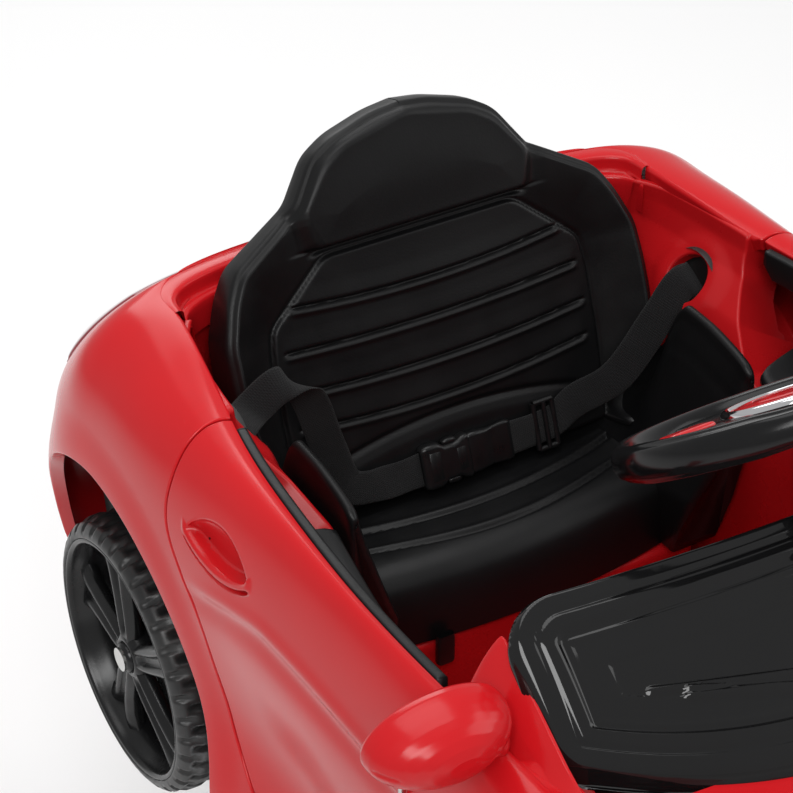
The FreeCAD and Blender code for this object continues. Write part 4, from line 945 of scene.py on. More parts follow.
def plan_ring(w, fr, rc, ff, n=(70, 16, 40)):
    """Half plan of the cabin wall from the front corner round to the rear centre, +X side."""
    rf = 26.0
    pts = []
    for x in np.linspace(0, w - rf, 14, endpoint=False):
        pts.append((x, ff))
    for a in np.linspace(0, 90, 10, endpoint=False):
        pts.append((w - rf + rf * math.sin(math.radians(a)), ff - rf + rf * math.cos(math.radians(a))))
    for f in np.linspace(ff - rf, fr + rc, n[0], endpoint=False):
        pts.append((w, f))
    for a in np.linspace(0, 90, n[1], endpoint=False):
        pts.append((w - rc + rc * math.cos(math.radians(a)), fr + rc - rc * math.sin(math.radians(a))))
    for x in np.linspace(w - rc, 0, n[2]):
        pts.append((x, fr))
    return np.array(pts)


W_TOP = [(-60, 184.5), (-35, 193.5), (0, 199.0), (30, 202.5), (60, 205.0), (337, 205.0)]
ring_tab = []
for z, w, fr, rc, ff in ((87.5, 158.5, -73, 26, 430.5), (93, 162.0, -76, 30, 432.5), (150, 163.3, -80, 30, 433), (240, 164.8, -86, 32, 433.5), (296, 166.4, -89, 34, 434), (318, 173.0, -90, 38, 436),
                         (340, 183.0, -91.2, 44, 438), (356, 190.0, -92.0, 50, 438), (367, 194.0, -92.4, 54, 438)):
    r = plan_ring(w, fr, rc, ff)
    if z > 300:
        k = smooth(300, 367, z)
        wt = np.interp(r[:, 1], [q[0] for q in W_TOP], [q[1] for q in W_TOP])
        side = (r[:, 1] > fr + rc * 0.6) & (r[:, 1] < 360)
        r[:, 0] = np.where(side, r[:, 0] + (wt - w) * k, r[:, 0])
    full = np.vstack([r, (r * [-1, 1])[::-1][1:-1]])
    ring_tab.append(np.concatenate([full, np.full((len(full), 1), z)], 1))
ring_tab = np.array(ring_tab)
NS = ring_tab.shape[1]
ring_ext = np.concatenate([ring_tab, ring_tab[:, :1]], 1)
S_PAR = np.arange(NS + 1, dtype=float)
Z_PAR = ring_ext[:, 0, 2]
BELT_HOLE = (13.0, 322.0, 17.0)


def cabin_at(s, t):
    """Cabin wall: s runs round the plan (ring index), t is the height."""
    s, t = np.broadcast_arrays(np.asarray(s, float), np.asarray(t, float))
    i = np.clip(np.floor(s).astype(int), 0, NS - 1)
    fs = s - i
    zi = np.clip(np.searchsorted(Z_PAR, t, side="right") - 1, 0, len(Z_PAR) - 2)
    ft = np.clip((t - Z_PAR[zi]) / (Z_PAR[zi + 1] - Z_PAR[zi]), 0, 1)
    a = ring_ext[zi, i] * (1 - fs)[..., None] + ring_ext[zi, i + 1] * fs[..., None]
    b = ring_ext[zi + 1, i] * (1 - fs)[..., None] + ring_ext[zi + 1, i + 1] * fs[..., None]
    p = a * (1 - ft)[..., None] + b * ft[..., None]
    p = p.copy()
    p[..., 2] = t
    return p


JAMB = [(43, 420), (45, 352), (54, 336), (70, 320), (95, 300), (130, 280), (180, 263), (240, 259), (290, 259.5), (316, 272), (331, 300), (336, 420)]
JAMB_R = round_poly(JAMB, 14)


def cabin_g(p):
    g = -poly_dist(p[..., 1], p[..., 2], JAMB_R)
    fwd = np.where(p[..., 1] > 333, 301.0 - p[..., 2], 1e3)
    hole = np.where(np.abs(p[..., 0]) > 120, np.hypot((p[..., 1] - BELT_HOLE[0]) / 1.15, p[..., 2] - BELT_HOLE[1]) - BELT_HOLE[2], 1e3)
    return np.minimum(np.minimum(g, fwd), hole)


def cabin_relief(p):
    """A soft pocket round each belt hole."""
    f, z, x = p[..., 1], p[..., 2], np.abs(p[..., 0])
    r = np.hypot((f - BELT_HOLE[0]) / 1.15, z - BELT_HOLE[1])
    return 3.2 * smooth(34, 20, r) * (x > 120)


def generic_trim(us, vs, g, at, relief, sgn):
    """The body's trimming, on another surface."""
    global BODY, skin_point, skin_normal, SGN
    keep = (BODY, skin_point, skin_normal, SGN)

    class S:
        pass
    s = S()
    s.at = lambda u, v: at(*np.broadcast_arrays(np.asarray(u, float), np.asarray(v, float)))

    def nrm(u, v):
        du, dv = us_step, vs_step
        u0, u1 = np.clip(u - du, us[0], us[-1]), np.clip(u + du, us[0], us[-1])
        v0, v1 = np.clip(v - dv, vs[0], vs[-1]), np.clip(v + dv, vs[0], vs[-1])
        n = np.cross(at(u1, v) - at(u0, v), at(u, v1) - at(u, v0)) * sgn
        return n / np.maximum(np.linalg.norm(n, axis=-1, keepdims=True), 1e-12)
    us_step, vs_step = (us[-1] - us[0]) / len(us) * 0.6, (vs[-1] - vs[0]) / len(vs) * 0.6

    def pt(u, v, relief_=True):
        p = at(u, v)
        return p if relief is None else p + nrm(u, v) * relief(p)[..., None]

    def nr(u, v, relief_=True):
        u0, u1 = np.clip(u - us_step, us[0], us[-1]), np.clip(u + us_step, us[0], us[-1])
        v0, v1 = np.clip(v - vs_step, vs[0], vs[-1]), np.clip(v + vs_step, vs[0], vs[-1])
        n = np.cross(pt(u1, v) - pt(u0, v), pt(u, v1) - pt(u, v0)) * sgn
        return n / np.maximum(np.linalg.norm(n, axis=-1, keepdims=True), 1e-12)
    BODY, skin_point, skin_normal, SGN = s, pt, nr, sgn
    try:
        return trimmed(us, vs, g)
    finally:
        BODY, skin_point, skin_normal, SGN = keep


def put_trim(name, t, body, mat, slot, replaces=(), radius=1.5, depth=6.0, seg=4):
    p, n, faces = rolled(t, radius, depth, seg)
    return add(name, p, [f[::-1] for f in faces], mat, body, slot, replaces, normals=n)


def cabin_depth(q):
    near_jamb = np.abs(poly_dist(q[:, 1], q[:, 2], JAMB_R)) < 4
    x = np.abs(q[:, 0])
    return np.where(near_jamb, np.clip(np.where(q[:, 2] > 325, 234, 240) - x, 6, 80), np.where(q[:, 2] > 350, 2.0, 7.0))


s_par = np.linspace(0, NS, 2 * NS + 1)
t_par = np.r_[np.linspace(87.5, 96, 4, endpoint=False), np.linspace(96, 240, 30, endpoint=False), np.linspace(240, 366.5, 52)]
_p = cabin_at(np.array([30.0]), np.array([200.0]))
_q = np.cross(cabin_at(np.array([30.5]), np.array([200.0])) - cabin_at(np.array([29.5]), np.array([200.0])), np.array([[0, 0, 1.0]]))
C_SGN = -1.0 if _q[0, 0] > 0 else 1.0
put_trim("cabin_walls", generic_trim(s_par, t_par, cabin_g, cabin_at, cabin_relief, C_SGN), "car", RED_IN, "body_red", ["cockpit_tub"], radius=2.2, depth=cabin_depth)


# ------------------------------------------------------------------ cabin floor, seat step, hood, pillars
SR, CR = math.sin(RECLINE), math.cos(RECLINE)


def back_pt(x, d, h):
    x, d, h = np.broadcast_arrays(np.asarray(x, float), np.asarray(d, float), np.asarray(h, float))
    return np.stack([x, -h * SR + d * CR, BIGHT_Z + h * CR + d * SR], -1)


floor_ring = ring_tab[0]
fl_f = np.r_[np.linspace(-72.9, -40, 16), np.linspace(-38, 400, 120), np.linspace(402, 430.4, 18)]
half = floor_ring[floor_ring[:, 0] >= -1e-6]
order = np.argsort(half[:, 1], kind="stable")
side_w = []
for f in fl_f:
    j = np.argsort(np.abs(half[:, 1] - f))[:1]
    rc, rf, w = 26.0, 26.0, 158.5
    wv = w
    if f < -73 + rc:
        wv = w - rc + math.sqrt(max(rc * rc - (-73 + rc - f) ** 2, 0))
    if f > 430.5 - rf:
        wv = w - rf + math.sqrt(max(rf * rf - (f - 430.5 + rf) ** 2, 0))
    side_w.append(wv)
side_w = np.array(side_w)
tx = np.linspace(-1, 1, 97)
FF, TT = np.meshgrid(fl_f, tx, indexing="ij")
XX = TT * side_w[:, None]
edge = np.minimum(side_w[:, None] - np.abs(XX), np.minimum(FF + 73.0, 430.5 - FF))
ZZ = 87.5 + 5.5 * smooth(9, 0, edge) ** 1.5
rib = smooth(1.2, 0.2, np.abs(((XX + 200) % 16) - 8) - 2.2) * smooth(118, 112, np.abs(XX)) * smooth(118, 124, FF) * smooth(372, 366, FF)
ZZ = ZZ + 1.6 * rib
M = Mesh()
M.grid(np.stack([XX, FF, ZZ], -1))
M.out("cabin_floor", RED_IN, "car", slot="body_red", recalc=False, replaces=("cockpit_tub",))


def rrect(hx, f0, f1, r, n=7):
    pts = []
    for cx, cf, a0 in ((hx - r, f1 - r, 0), (-hx + r, f1 - r, 90), (-hx + r, f0 + r, 180), (hx - r, f0 + r, 270)):
        for k in range(n + 1):
            a = math.radians(a0 + 90 * k / n)
            pts.append((cx + r * math.cos(a), cf + r * math.sin(a)))
    return np.array(pts)


rows = []
for inset, z in ((-7, 87.6), (-4.5, 88.0), (-2, 90), (-0.6, 94), (0, 102), (1.5, 140), (2.0, 146), (3.4, 149), (6.5, 150), (30, 150)):
    q = rrect(150 - inset, -40 + inset, 92 - inset, 12 if inset < 20 else 4)
    rows.append(np.concatenate([q, np.full((len(q), 1), z)], 1))
M = Mesh()
M.grid(np.array(rows), cv=True)
M.poly(np.array(rows[-1]), [tuple(range(len(rows[-1])))])
M.out("seat_step", RED_IN, "car", slot="body_red", recalc=True, replaces=("cockpit_tub",))

# front wall of the footwell already closes the ring; a scuttle shelf ties it to the dashboard
U_FS = np.linspace(U_F0, U_MID, 900)
_cr = BODY.at(U_FS, 1.0)
CF_TAB = [338.6, 380, 420, 470, 520, 570, 620, 660, 700, 735, 757.5]
HM_TAB = [336, 336, 336, 337, 330, 320, 306, 292, 273, 253, 241.2]
cs_ = np.abs(_cr[:, 0]), _cr[:, 1], _cr[:, 2]
oo = np.argsort(cs_[1])
CRX = lambda f: np.interp(f, cs_[1][oo], cs_[0][oo])
CRZ = lambda f: np.interp(f, cs_[1][oo], cs_[2][oo])
hf = np.r_[np.linspace(338.8, 470, 60), np.linspace(473, 700, 70), np.linspace(703, 757.3, 24)]
ht = np.linspace(-1, 1, 121)
HF, HT = np.meshgrid(hf, ht, indexing="ij")
xc, zc_ = CRX(HF), CRZ(HF)
zm = pchip(CF_TAB, HM_TAB, hf)[:, None] + 0 * HF
HX = HT * xc
HZ = zm + (zc_ - 0.9 - zm) * np.abs(HT) ** 2.2
# two creases run forward over the bonnet, and a shallow scoop lies between them
cw = 96 - 0.10 * (HF - 470)
HZ = HZ + smooth(468, 510, HF) * smooth(752, 700, HF) * (3.2 * np.exp(-((np.abs(HX) - cw) / 7.0) ** 2) - 2.6 * smooth(cw - 12, cw - 46, np.abs(HX)))
HZ = HZ - 5.0 * smooth(0, 1, smooth(506, 522, HF) * smooth(600, 584, HF)) * smooth(12, 6, np.abs(np.abs(HX) - 48) - 14)
keep_h = ~((HF < 472) & (np.abs(HX) < 203.0))
fc = []
nv_ = len(ht)
for i in range(len(hf) - 1):
    for j in range(nv_ - 1):
        if hf[i + 1] <= 473.5 and abs(0.5 * (HX[i, j] + HX[i, j + 1])) < 200.0 and hf[i] < 452:
            continue
        fc.append((i * nv_ + j, (i + 1) * nv_ + j, (i + 1) * nv_ + j + 1, i * nv_ + j + 1))
hood = add("bonnet", np.stack([HX, HF, HZ], -1).reshape(-1, 3), fc, RED, "car", "body_red", ("body_front",))
bm = bmesh.new()
bm.from_mesh(hood.data)
bmesh.ops.delete(bm, geom=[v for v in bm.verts if not v.link_faces], context="VERTS")
bmesh.ops.recalc_face_normals(bm, faces=bm.faces)
if sum(f.normal.z for f in bm.faces) < 0:
    bmesh.ops.reverse_faces(bm, faces=bm.faces)
bm.to_mesh(hood.data)
bm.free()

for side, sg in (("left", 1), ("right", -1)):
    secs = []
    for t in np.linspace(0, 1, 9):
        a = np.array([(202.0, 343, 330), (202.0, 352, 408), (202.0, 358, 408), (202.0, 420, 366), (202.0, 446, 352), (202.0, 446, 330)], float)
        b = np.array([(222, 343, 330), (222, 346, 366), (222, 352, 366), (222, 400, 360), (222, 446, 346), (222, 446, 330)], float)
        q = a * (1 - t) + b * t
        q[:, 0] = a[0, 0] + (b[0, 0] - a[0, 0]) * t
        k = 0.5 * t + 0.5 * t * t
        q[1:, 2] = (a * (1 - k) + b * k)[1:, 2]
        secs.append(q)
    secs = np.array(secs) * [sg, 1, 1]
    M = Mesh()
    M.grid(secs, cv=True)
    M.poly(secs[0], [tuple(range(6))])
    M.poly(secs[-1], [tuple(range(6))])
    o = M.out("pillar_" + side, RED, "car", slot="body_red", recalc=True, replaces=("body_front",))
    bevel(o, 3.0, 3, 30)

# black wheel-well liners behind the skins
for side, sg in (("left", 1), ("right", -1)):
    ring = np.array(ARCH_POLY)
    cen = np.array([-50.0, 150.0])
    rows = []
    for x, k in ((250, 1.012), (240, 1.010), (196, 0.985), (192, 0.96), (191, 0.6), (191, 0.05)):
        q = cen + (ring - cen) * k
        rows.append(np.stack([np.full(len(q), x * sg * 1.0), q[:, 0], np.maximum(q[:, 1], 78.0)], -1))
    rows = np.array(rows)
    inside_skin = rows.copy()
    for r_ in inside_skin[:2]:
        r_[:, 0] = sg * np.minimum(np.abs(r_[:, 0]), np.interp(r_[:, 1], [-200, -170, -140, -110, -60, 120], [196, 214, 232, 246, 252, 246]))
    M = Mesh()
    M.grid(inside_skin)
    M.out("wheel_well_" + side, TRAY, "car", slot="chassis_black", recalc=True)


# ------------------------------------------------------------------ door linings
LIN = [(62, 372.0), (65, 344), (63, 318), (67, 302), (83, 282), (101, 253), (110, 215), (124, 172), (140, 152), (156, 145), (240, 142), (312, 144), (320, 156), (324, 200), (326, 300), (327, 372.0)]
LIN_R = round_poly(LIN, 10)


BODY_KEEP, SGN_KEEP = BODY, SGN


def lining_at(u, v):
    return BODY_KEEP.at(u, v) - BODY_KEEP.normal(u, v) * SGN_KEEP * 13.0


def lining_relief(p):
    """Armrest swelling and a map pocket on the door's inner panel."""
    f, z = p[..., 1], p[..., 2]
    e = poly_dist(f, z, LIN_R)
    d = 1.5 * smooth(9, 4, e)
    pocket = round_poly([(150, 185), (290, 180), (296, 240), (140, 252)], 14)
    q = poly_dist(f, z, pocket)
    d = d - 4.0 * smooth(-2, 3, q)
    d = d + 2.0 * smooth(-6, -1, q) * smooth(1, -2, q)
    screw = np.hypot(f - 92, z - 322)
    d = d - 2.5 * smooth(5.0, 3.6, screw) + 0.8 * smooth(8.0, 6.4, screw) * smooth(5.0, 6.2, screw)
    rest = smooth(-5, 4, poly_dist(f, z, round_poly([(120, 276), (318, 270), (318, 296), (112, 304)], 8)))
    return d + 5.0 * rest


us_l = np.linspace(u_of_f(52), u_of_f(332), 150)
vs_l = np.linspace(0.16, 1.0, 120)
tl = generic_trim(us_l, vs_l, lambda p: poly_dist(p[..., 1], p[..., 2], LIN_R) - 1.2, lining_at, lining_relief, -SGN)
pl, nl, fl_ = rolled(tl, 1.6, 7.0, 3)
strip_f = np.linspace(64.5, 327, 90)
sx = np.abs(BODY.at(np.array([u_of_f(f) for f in strip_f]), 1.0)[:, 0])
for side, sg, bd in (("left", 1, "door_l"), ("right", -1, "door_r")):
    P_ = np.array(pl) * [1 if pl[0][0] * sg > 0 else -1, 1, 1]
    same = (pl[0][0] * sg > 0)
    N_ = np.array(nl) * [1 if same else -1, 1, 1]
    F_ = [f[::-1] for f in fl_]
    if not same:
        F_ = [f[::-1] for f in F_]
    add("door_lining_" + side + "_panel", P_, F_, LINING, bd, "lining_black", ("door_lining_" + side,), normals=N_)
    # padded-looking top rail with a hooked rear end
    path = np.stack([sg * (sx - 4.6), strip_f, np.full(len(strip_f), 355.0)], -1)
    w_ = 7.6 * smooth(-0.02, 0.035, np.linspace(0, 1, 90)) * 1.0 + 0.2
    prof = []
    for k in range(90):
        s_ = min(1.0, (strip_f[k] - 64.4) / 9.0)
        prof.append(rr_profile(7.4, 21.0 * (0.55 + 0.45 * s_), 2.2, 4) + [0, 0.5 * 21.0 * (0.45 - 0.45 * s_)])
    g = sweep(path, np.array(prof), (0, 0, 1))
    M = Mesh()
    M.grid(g, cv=True)
    M.poly(g[0], [tuple(range(g.shape[1]))])
    M.poly(g[-1], [tuple(range(g.shape[1]))])
    o = M.out("door_rail_" + side, LINING, bd, slot="lining_black", recalc=True, replaces=("door_lining_" + side,))


# a black shelf of the lining lies over the sill, its black standing as painted shade for the shadowed gap between door
# and seat, and a black cup, painted shade for the hollow behind it, closes each belt opening
for side, sg, bd in (("left", 1, "door_l"), ("right", -1, "door_r")):
    fs_ = np.linspace(97, 268, 66)
    rows = []
    for f in fs_:
        u_ = u_of_f(f)
        vv = np.linspace(0.3, 1.0, 90)
        q_ = BODY.at(np.full(90, u_), vv)
        zt = float(pchip([97, 108, 130, 180, 225, 268], [317, 309, 297, 279, 274, 273], f))
        xo = float(np.interp(zt - 6, q_[:, 2], np.abs(q_[:, 0]))) - 15.0
        env = float(smooth(97, 116, f) * smooth(268, 232, f))
        xi = xo - (xo - 169.0) * max(env, 0.02)
        prof = [(xo, zt - 12), (xi + 5, zt - 12), (xi + 1.6, zt - 11), (xi + 0.3, zt - 8.6), (xi, zt - 5.4), (xi + 0.5, zt - 2.6), (xi + 2.2, zt - 0.7), (xi + 5, zt), (xi + 8, zt + 0.2),
                ((xi + xo) / 2, zt + 0.4), (xo, zt)]
        rows.append([(sg * x, f, z) for x, z in prof])
    rows = np.array(rows)
    M = Mesh()
    M.grid(rows, cv=True)
    M.poly(rows[0], [tuple(range(11))])
    M.poly(rows[-1], [tuple(range(11))])
    # the shelf's black is painted shade over the sill
    M.out("door_shade_shelf_" + side, LINING, bd, slot="lining_black", recalc=True, replaces=("door_lining_" + side,))
    # the cup's black is painted shade for the hollow behind the belt hole
    a_ = np.linspace(0, 2 * np.pi, 40, endpoint=False)
    rows = []
    for x, r in ((188, 21.0), (193, 22.0), (197, 20.0), (198, 10.0), (198, 0.02)):
        rows.append(np.stack([np.full(40, sg * x), 13 + r * 1.12 * np.cos(a_), 322 + r * np.sin(a_)], -1))
    M = Mesh()
    M.grid(np.array(rows), cv=True)
    M.out("belt_hole_shade_cup_" + side, TRAY, "car", slot="chassis_black", recalc=True)


# ------------------------------------------------------------------ seat
C_TAB_H = [8, 12, 60, 124, 152, 179, 196.5, 227, 257, 267.5, 280]
C_TAB_X = [154, 155, 162, 166, 165, 155, 144.5, 92.5, 72, 54, 2.0]
outl = [(154, 8), (155, 12), (162, 60), (165.6, 100), (166, 124), (165, 152), (155, 179), (144.5, 196.5), (92.5, 227), (72, 257), (54, 267.5), (22, 276.4), (0.01, 279.0)]
half_o = np.array(outl)
# corners of the outline are eased
ho = [half_o[0]]
for a, b, c in zip(half_o[:-2], half_o[1:-1], half_o[2:]):
    la, lc = np.linalg.norm(a - b), np.linalg.norm(c - b)
    r_ = min(7.0, la * 0.45, lc * 0.45)
    s_, e_ = b + (a - b) / la * r_, b + (c - b) / lc * r_
    for t in np.linspace(0, 1, 5):
        ho.append((1 - t) ** 2 * s_ + 2 * t * (1 - t) * b + t * t * e_)
ho.append(half_o[-1])
ho = np.array(ho)
dh = np.r_[0, np.cumsum(np.linalg.norm(np.diff(ho, axis=0), axis=1))]
ns_ = 230
ss = np.linspace(0, dh[-1], ns_)
ox, oh = np.interp(ss, dh, ho[:, 0]), np.interp(ss, dh, ho[:, 1])
OUT_POLY = [tuple(q) for q in np.stack([ox, oh], -1)] + [tuple(q) for q in np.stack([-ox, oh], -1)[::-1]]
PANEL = [(126, 4), (128, 30), (130, 78), (129.5, 128), (126, 151), (78, 191.5), (-78, 191.5), (-126, 151), (-129.5, 128), (-130, 78), (-128, 30), (-126, 4)]
PANEL_R = round_poly(PANEL, 7, 4)
HEADP = round_poly([(80, 199.5), (87, 224), (66, 251), (49, 261.5), (0, 272), (-49, 261.5), (-66, 251), (-87, 224), (-80, 199.5)], 6, 4)
CREST_D = lambda h: pchip([0, 12, 60, 138, 186, 205, 227, 245, 280], [36, 34, 30, 23, 14, 9.5, 6.0, 4.5, 3.5], h)


def back_d(x, h):
    qp = poly_dist(x, h, PANEL_R)
    qh = poly_dist(x, h, HEADP)
    eo = poly_dist(x, h, OUT_POLY)
    cd = CREST_D(h)
    # wings rise from the panel's edge to the crest
    s = np.clip(-qp / np.maximum(-qp + np.maximum(eo - 4.0, 0.0), 1e-6), 0, 1)
    d = 1.2 + (cd - 1.2) * (0.25 * s + 0.75 * s ** 1.7)
    # centre panel
    crown = 3.2 + 2.2 * np.cos(np.clip(x / 130, -1, 1) * np.pi / 2) * smooth(4, 60, qp)
    pan = crown
    for a0, a2, lim, dep in ((156.5, 0.00055, 112, 2.9), (128.5, 0.0003, 122, 2.9), (97.5, 0.0004, 124, 2.9), (70.0, 0.0005, 122, 2.7)):
        hr = a0 + a2 * x * x
        endf = smooth(lim, lim - 7, np.abs(x))
        pan = pan - endf * dep * np.exp(-((h - hr) / 1.5) ** 2)
        pan = pan + endf * 1.5 * np.exp(-((h - hr + 4.2) / 2.0) ** 2) + endf * 0.7 * smooth(16, 0, h - hr) * (h > hr)
    arc = 57 - 0.0013 * x * x
    pan = pan - 3.0 * np.exp(-((h - arc) / 2.2) ** 2) * smooth(112, 100, np.abs(x)) + 1.6 * smooth(arc - 3, arc - 12, h) * smooth(116, 96, np.abs(x))
    t = smooth(-0.6, 2.2, qp)
    d = d * (1 - t) + pan * t
    d = d - 1.8 * np.exp(-((qp + 0.4) / 1.5) ** 2) * smooth(0, 14, h)
    # head pad stands proud with chamfered flanks
    th = smooth(-9.0, 1.0, qh)
    hd = 12.6 + 1.6 * smooth(0, 34, qh)
    above = smooth(196.0, 200.0, h + 0.0 * x)
    flank = 3.2 + (12.6 - 3.2) * smooth(-15.0, 0.0, qh)
    d = np.where(h > 190, d * (1 - above) + above * np.where(qh > 0, hd, np.minimum(flank, 12.6) * smooth(196, 200, h) + cd * 0.0), d)
    wing_mix = smooth(88, 108, np.abs(x)) * smooth(232, 214, h)
    d = np.where(h > 190, d * (1 - wing_mix) + wing_mix * (1.2 + (cd - 1.2) * (0.25 * s + 0.75 * s ** 1.7)), d)
    groove = np.exp(-((h - 195.6) / 2.7) ** 2) * smooth(92, 78, np.abs(x))
    d = d - (d + 2.0) * groove * 0.95
    # the rim turns over
    d = d - 3.4 * smooth(4.2, 0.0, eo) ** 1.6
    return d


sgrid = np.r_[np.linspace(-1, -0.72, 34, endpoint=False), np.linspace(-0.72, 0.72, 100, endpoint=False), np.linspace(0.72, 1, 35)]
hh_rows = np.unique(np.r_[oh[::1], np.arange(60, 200, 1.15)])
cw_rows = np.interp(hh_rows, oh, ox)
S2, H2 = np.meshgrid(sgrid, hh_rows, indexing="ij")
X2 = S2 * cw_rows[None, :]
D2 = back_d(X2, H2)
front = back_pt(X2, D2, H2)
M = Mesh()
M.grid(front)
# side walls run back from the crest, flaring slightly
nrm2 = np.gradient(np.stack([cw_rows, hh_rows], -1), axis=0)
nrm2 /= np.linalg.norm(nrm2, axis=1, keepdims=True)
nx_, nh_ = nrm2[:, 1], -nrm2[:, 0]
for sg, col in ((1, -1), (-1, 0)):
    d0 = D2[col]
    rr_ = []
    for out, dd in ((0, 0), (1.6, -0.7), (2.6, -2.2), (3.0, -4.4), (3.4, -9.0)):
        rr_.append(back_pt(sg * (cw_rows + nx_ * out), d0 + dd, hh_rows + nh_ * out))
    for out, dd in ((3.6, -11.5), (3.0, -13.2), (1.2, -14.2)):
        rr_.append(back_pt(sg * (cw_rows + nx_ * out), np.minimum(d0 - 9.2, dd), hh_rows + nh_ * out))
    M.grid(np.array(rr_))
    last = (cw_rows + nx_ * 1.2, hh_rows + nh_ * 1.2)
bx = np.linspace(-1, 1, 41)[:, None] * last[0][None, :]
bh = np.broadcast_to(last[1][None, :], bx.shape)
bd_ = -14.2 + 3.5 * smooth(0, 14, poly_dist(bx, bh, OUT_POLY)) * smooth(0.0, 60, bh)
M.grid(back_pt(bx, bd_, bh))
o = M.out("seat_back", SEAT, "car", slot="seat_black", recalc=True, replaces=("seat_shell",))

# cushion with its hip bolsters
pf = np.array([(-16, 150), (-15, 190), (-13, 202.5), (-6, 203.0), (10, 203.2), (30, 204.6), (50, 206.4), (64, 207.0), (73, 206.0), (80.5, 202.6), (87, 196.5), (91.0, 188), (93.4, 177), (94.6, 165), (95.2, 152)], float)
cp = catmull(pf, 190)
xs_half = np.array([0, 8, 16, 24, 32, 40, 48, 56, 64, 72, 80, 88, 96, 102, 108, 112, 116, 119, 122, 124.5, 127, 129, 131, 133, 135, 137, 139, 141, 143, 145, 147, 149, 151, 153, 154.6, 155.8, 156.6, 157, 157.2, 157.4, 157.4], float)
xk = np.interp(xs_half, [0, 110, 119, 124.5, 129, 134, 139, 143, 146, 149, 152, 154.6, 156.6, 157.2, 157.4], [0, 0, 0.015, 0.07, 0.19, 0.40, 0.66, 0.86, 0.95, 1.0, 0.985, 0.92, 0.78, 0.5, 0.0])
xs_half[-1] = 157.4
drop = np.zeros(len(xs_half))
drop[-2:] = [20, 52]
xs2 = np.r_[-xs_half[::-1], xs_half[1:]]
xk2 = np.r_[xk[::-1], xk[1:]]
drop2 = np.r_[drop[::-1], drop[1:]]
top_f = lambda f: np.interp(f, [-16, 20, 60, 84, 93, 100], [44, 36, 22, 10, 4, 1.5])
Pc = np.zeros((len(cp), len(xs2), 3))
tt = np.linspace(0, 1, len(cp))
for i, (f, z) in enumerate(cp):
    roll = smooth(20, 70, f)
    fr = f - 13.0 * (np.abs(xs2) / 124.0) ** 2 * roll * np.where(np.abs(xs2) > 124, (124 / np.maximum(np.abs(xs2), 1)) ** 2 * 1.0, 1.0)
    amp = top_f(f) if f > -12 else 52.0
    zz = z + xk2 * amp - drop2 * (z > 170)
    if z > 195:
        g1 = 33 - 24 * (np.abs(xs2) / 125) ** 2
        g2 = 63 - 22 * (np.abs(xs2) / 125) ** 2
        lim = smooth(125, 118, np.abs(xs2))
        for gg in (g1, g2):
            zz = zz - lim * 2.6 * np.exp(-((f - gg) / 1.7) ** 2) + lim * 0.9 * np.exp(-((f - gg + 4.5) / 2.4) ** 2)
        zz = zz + 2.0 * np.cos(np.clip(xs2 / 124, -1, 1) * np.pi / 2) * smooth(-10, 20, f) * smooth(90, 60, f)
    zz = np.maximum(zz, 150.4)
    Pc[i] = np.stack([xs2, fr, zz], -1)
M = Mesh()
M.grid(Pc)
M.out("seat_cushion", SEAT, "car", slot="seat_black", recalc=True, replaces=("seat_shell",))
# hip wings: a sloping inner face up to a rounded edge, and a slanted front end
HIP_TOP = lambda f: pchip([-24, -16, 14, 24, 31, 38, 46, 67, 96, 112, 119.5], [252, 257, 272, 284, 303, 318, 325, 324.5, 320, 315.5, 311], f)
HIP_SHEAR = lambda z: np.interp(z, [150, 172, 195, 232, 262, 300, 316], [25, 18, 10.5, 2.5, 0.2, 0.0, 1.5])
hip_f = np.r_[np.linspace(-20, 16, 10, endpoint=False), np.linspace(16, 44, 26, endpoint=False), np.linspace(44, 112, 30, endpoint=False), np.linspace(112, 120.5, 12)]
for sg in (1, -1):
    rows = []
    for f in hip_f:
        zt = float(HIP_TOP(min(max(f, -24), 119.5)))
        e = max(0.0, (f - 114.0) / 6.5)
        ins = 5.5 * (1 - math.sqrt(max(0.0, 1 - min(e, 1.0) ** 2)))
        q = []
        for k in range(26):
            t = k / 25
            z_ = 203.5 + (zt - 8.0 - 203.5) * t
            x_ = 119.0 + (154.5 - 119.0) * t ** 0.92 + 1.2 * math.sin(math.pi * t)
            x_ = x_ + 2.3 * math.exp(-((z_ - (zt - 30)) / 2.6) ** 2) * 0.35
            q.append((x_ + ins, z_))
        for a_ in np.linspace(165, 0, 9):
            q.append((158.2 + (3.9 - 0.5 * ins) * math.cos(math.radians(a_)), zt - 5.0 - 0.4 * ins + 4.8 * math.sin(math.radians(a_))))
        for z_ in np.linspace(zt - 9, 151, 18):
            q.append((162.2 - 0.5 * ins, z_))
        q.append((160.0, 150.2))
        q.append((122.0, 150.2))
        q.append((119.0, 153.0))
        q.append((118.4, 176.0))
        q = np.array(q)
        prog = smooth(58, 120.5, f)
        rows.append(np.stack([sg * q[:, 0], f - HIP_SHEAR(q[:, 1]) * prog, q[:, 1]], -1))
    M = Mesh()
    M.grid(np.array(rows), cv=True)
    last = rows[-1]
    mid = last.mean(0)
    cap_rows = [last]
    for k in (0.93, 0.8, 0.5, 0.02):
        c_ = mid + (last - mid) * k
        cap_rows.append(c_ + [0, 0.5 * (1 - k) ** 0.5, 0])
    M.grid(np.array(cap_rows), cv=True)
    M.out("seat_hip_" + ("left" if sg > 0 else "right"), SEAT, "car", slot="seat_black", recalc=True, weld=True, replaces=("seat_shell",))
tabp = rr_profile(14, 6.5, 2.4, 4)
rows = []
for z, k in ((134, 0.55), (134.6, 0.85), (136, 1), (156, 1), (160, 0.9)):
    rows.append(np.stack([-75 + tabp[:, 0] * k, 96.6 + tabp[:, 1] * k, np.full(len(tabp), z)], -1))
M = Mesh()
M.grid(np.array(rows), cv=True)
M.poly(rows[0], [tuple(range(len(tabp)))])
M.out("seat_tab", SEAT, "car", slot="seat_black", recalc=True, replaces=("seat_shell",))


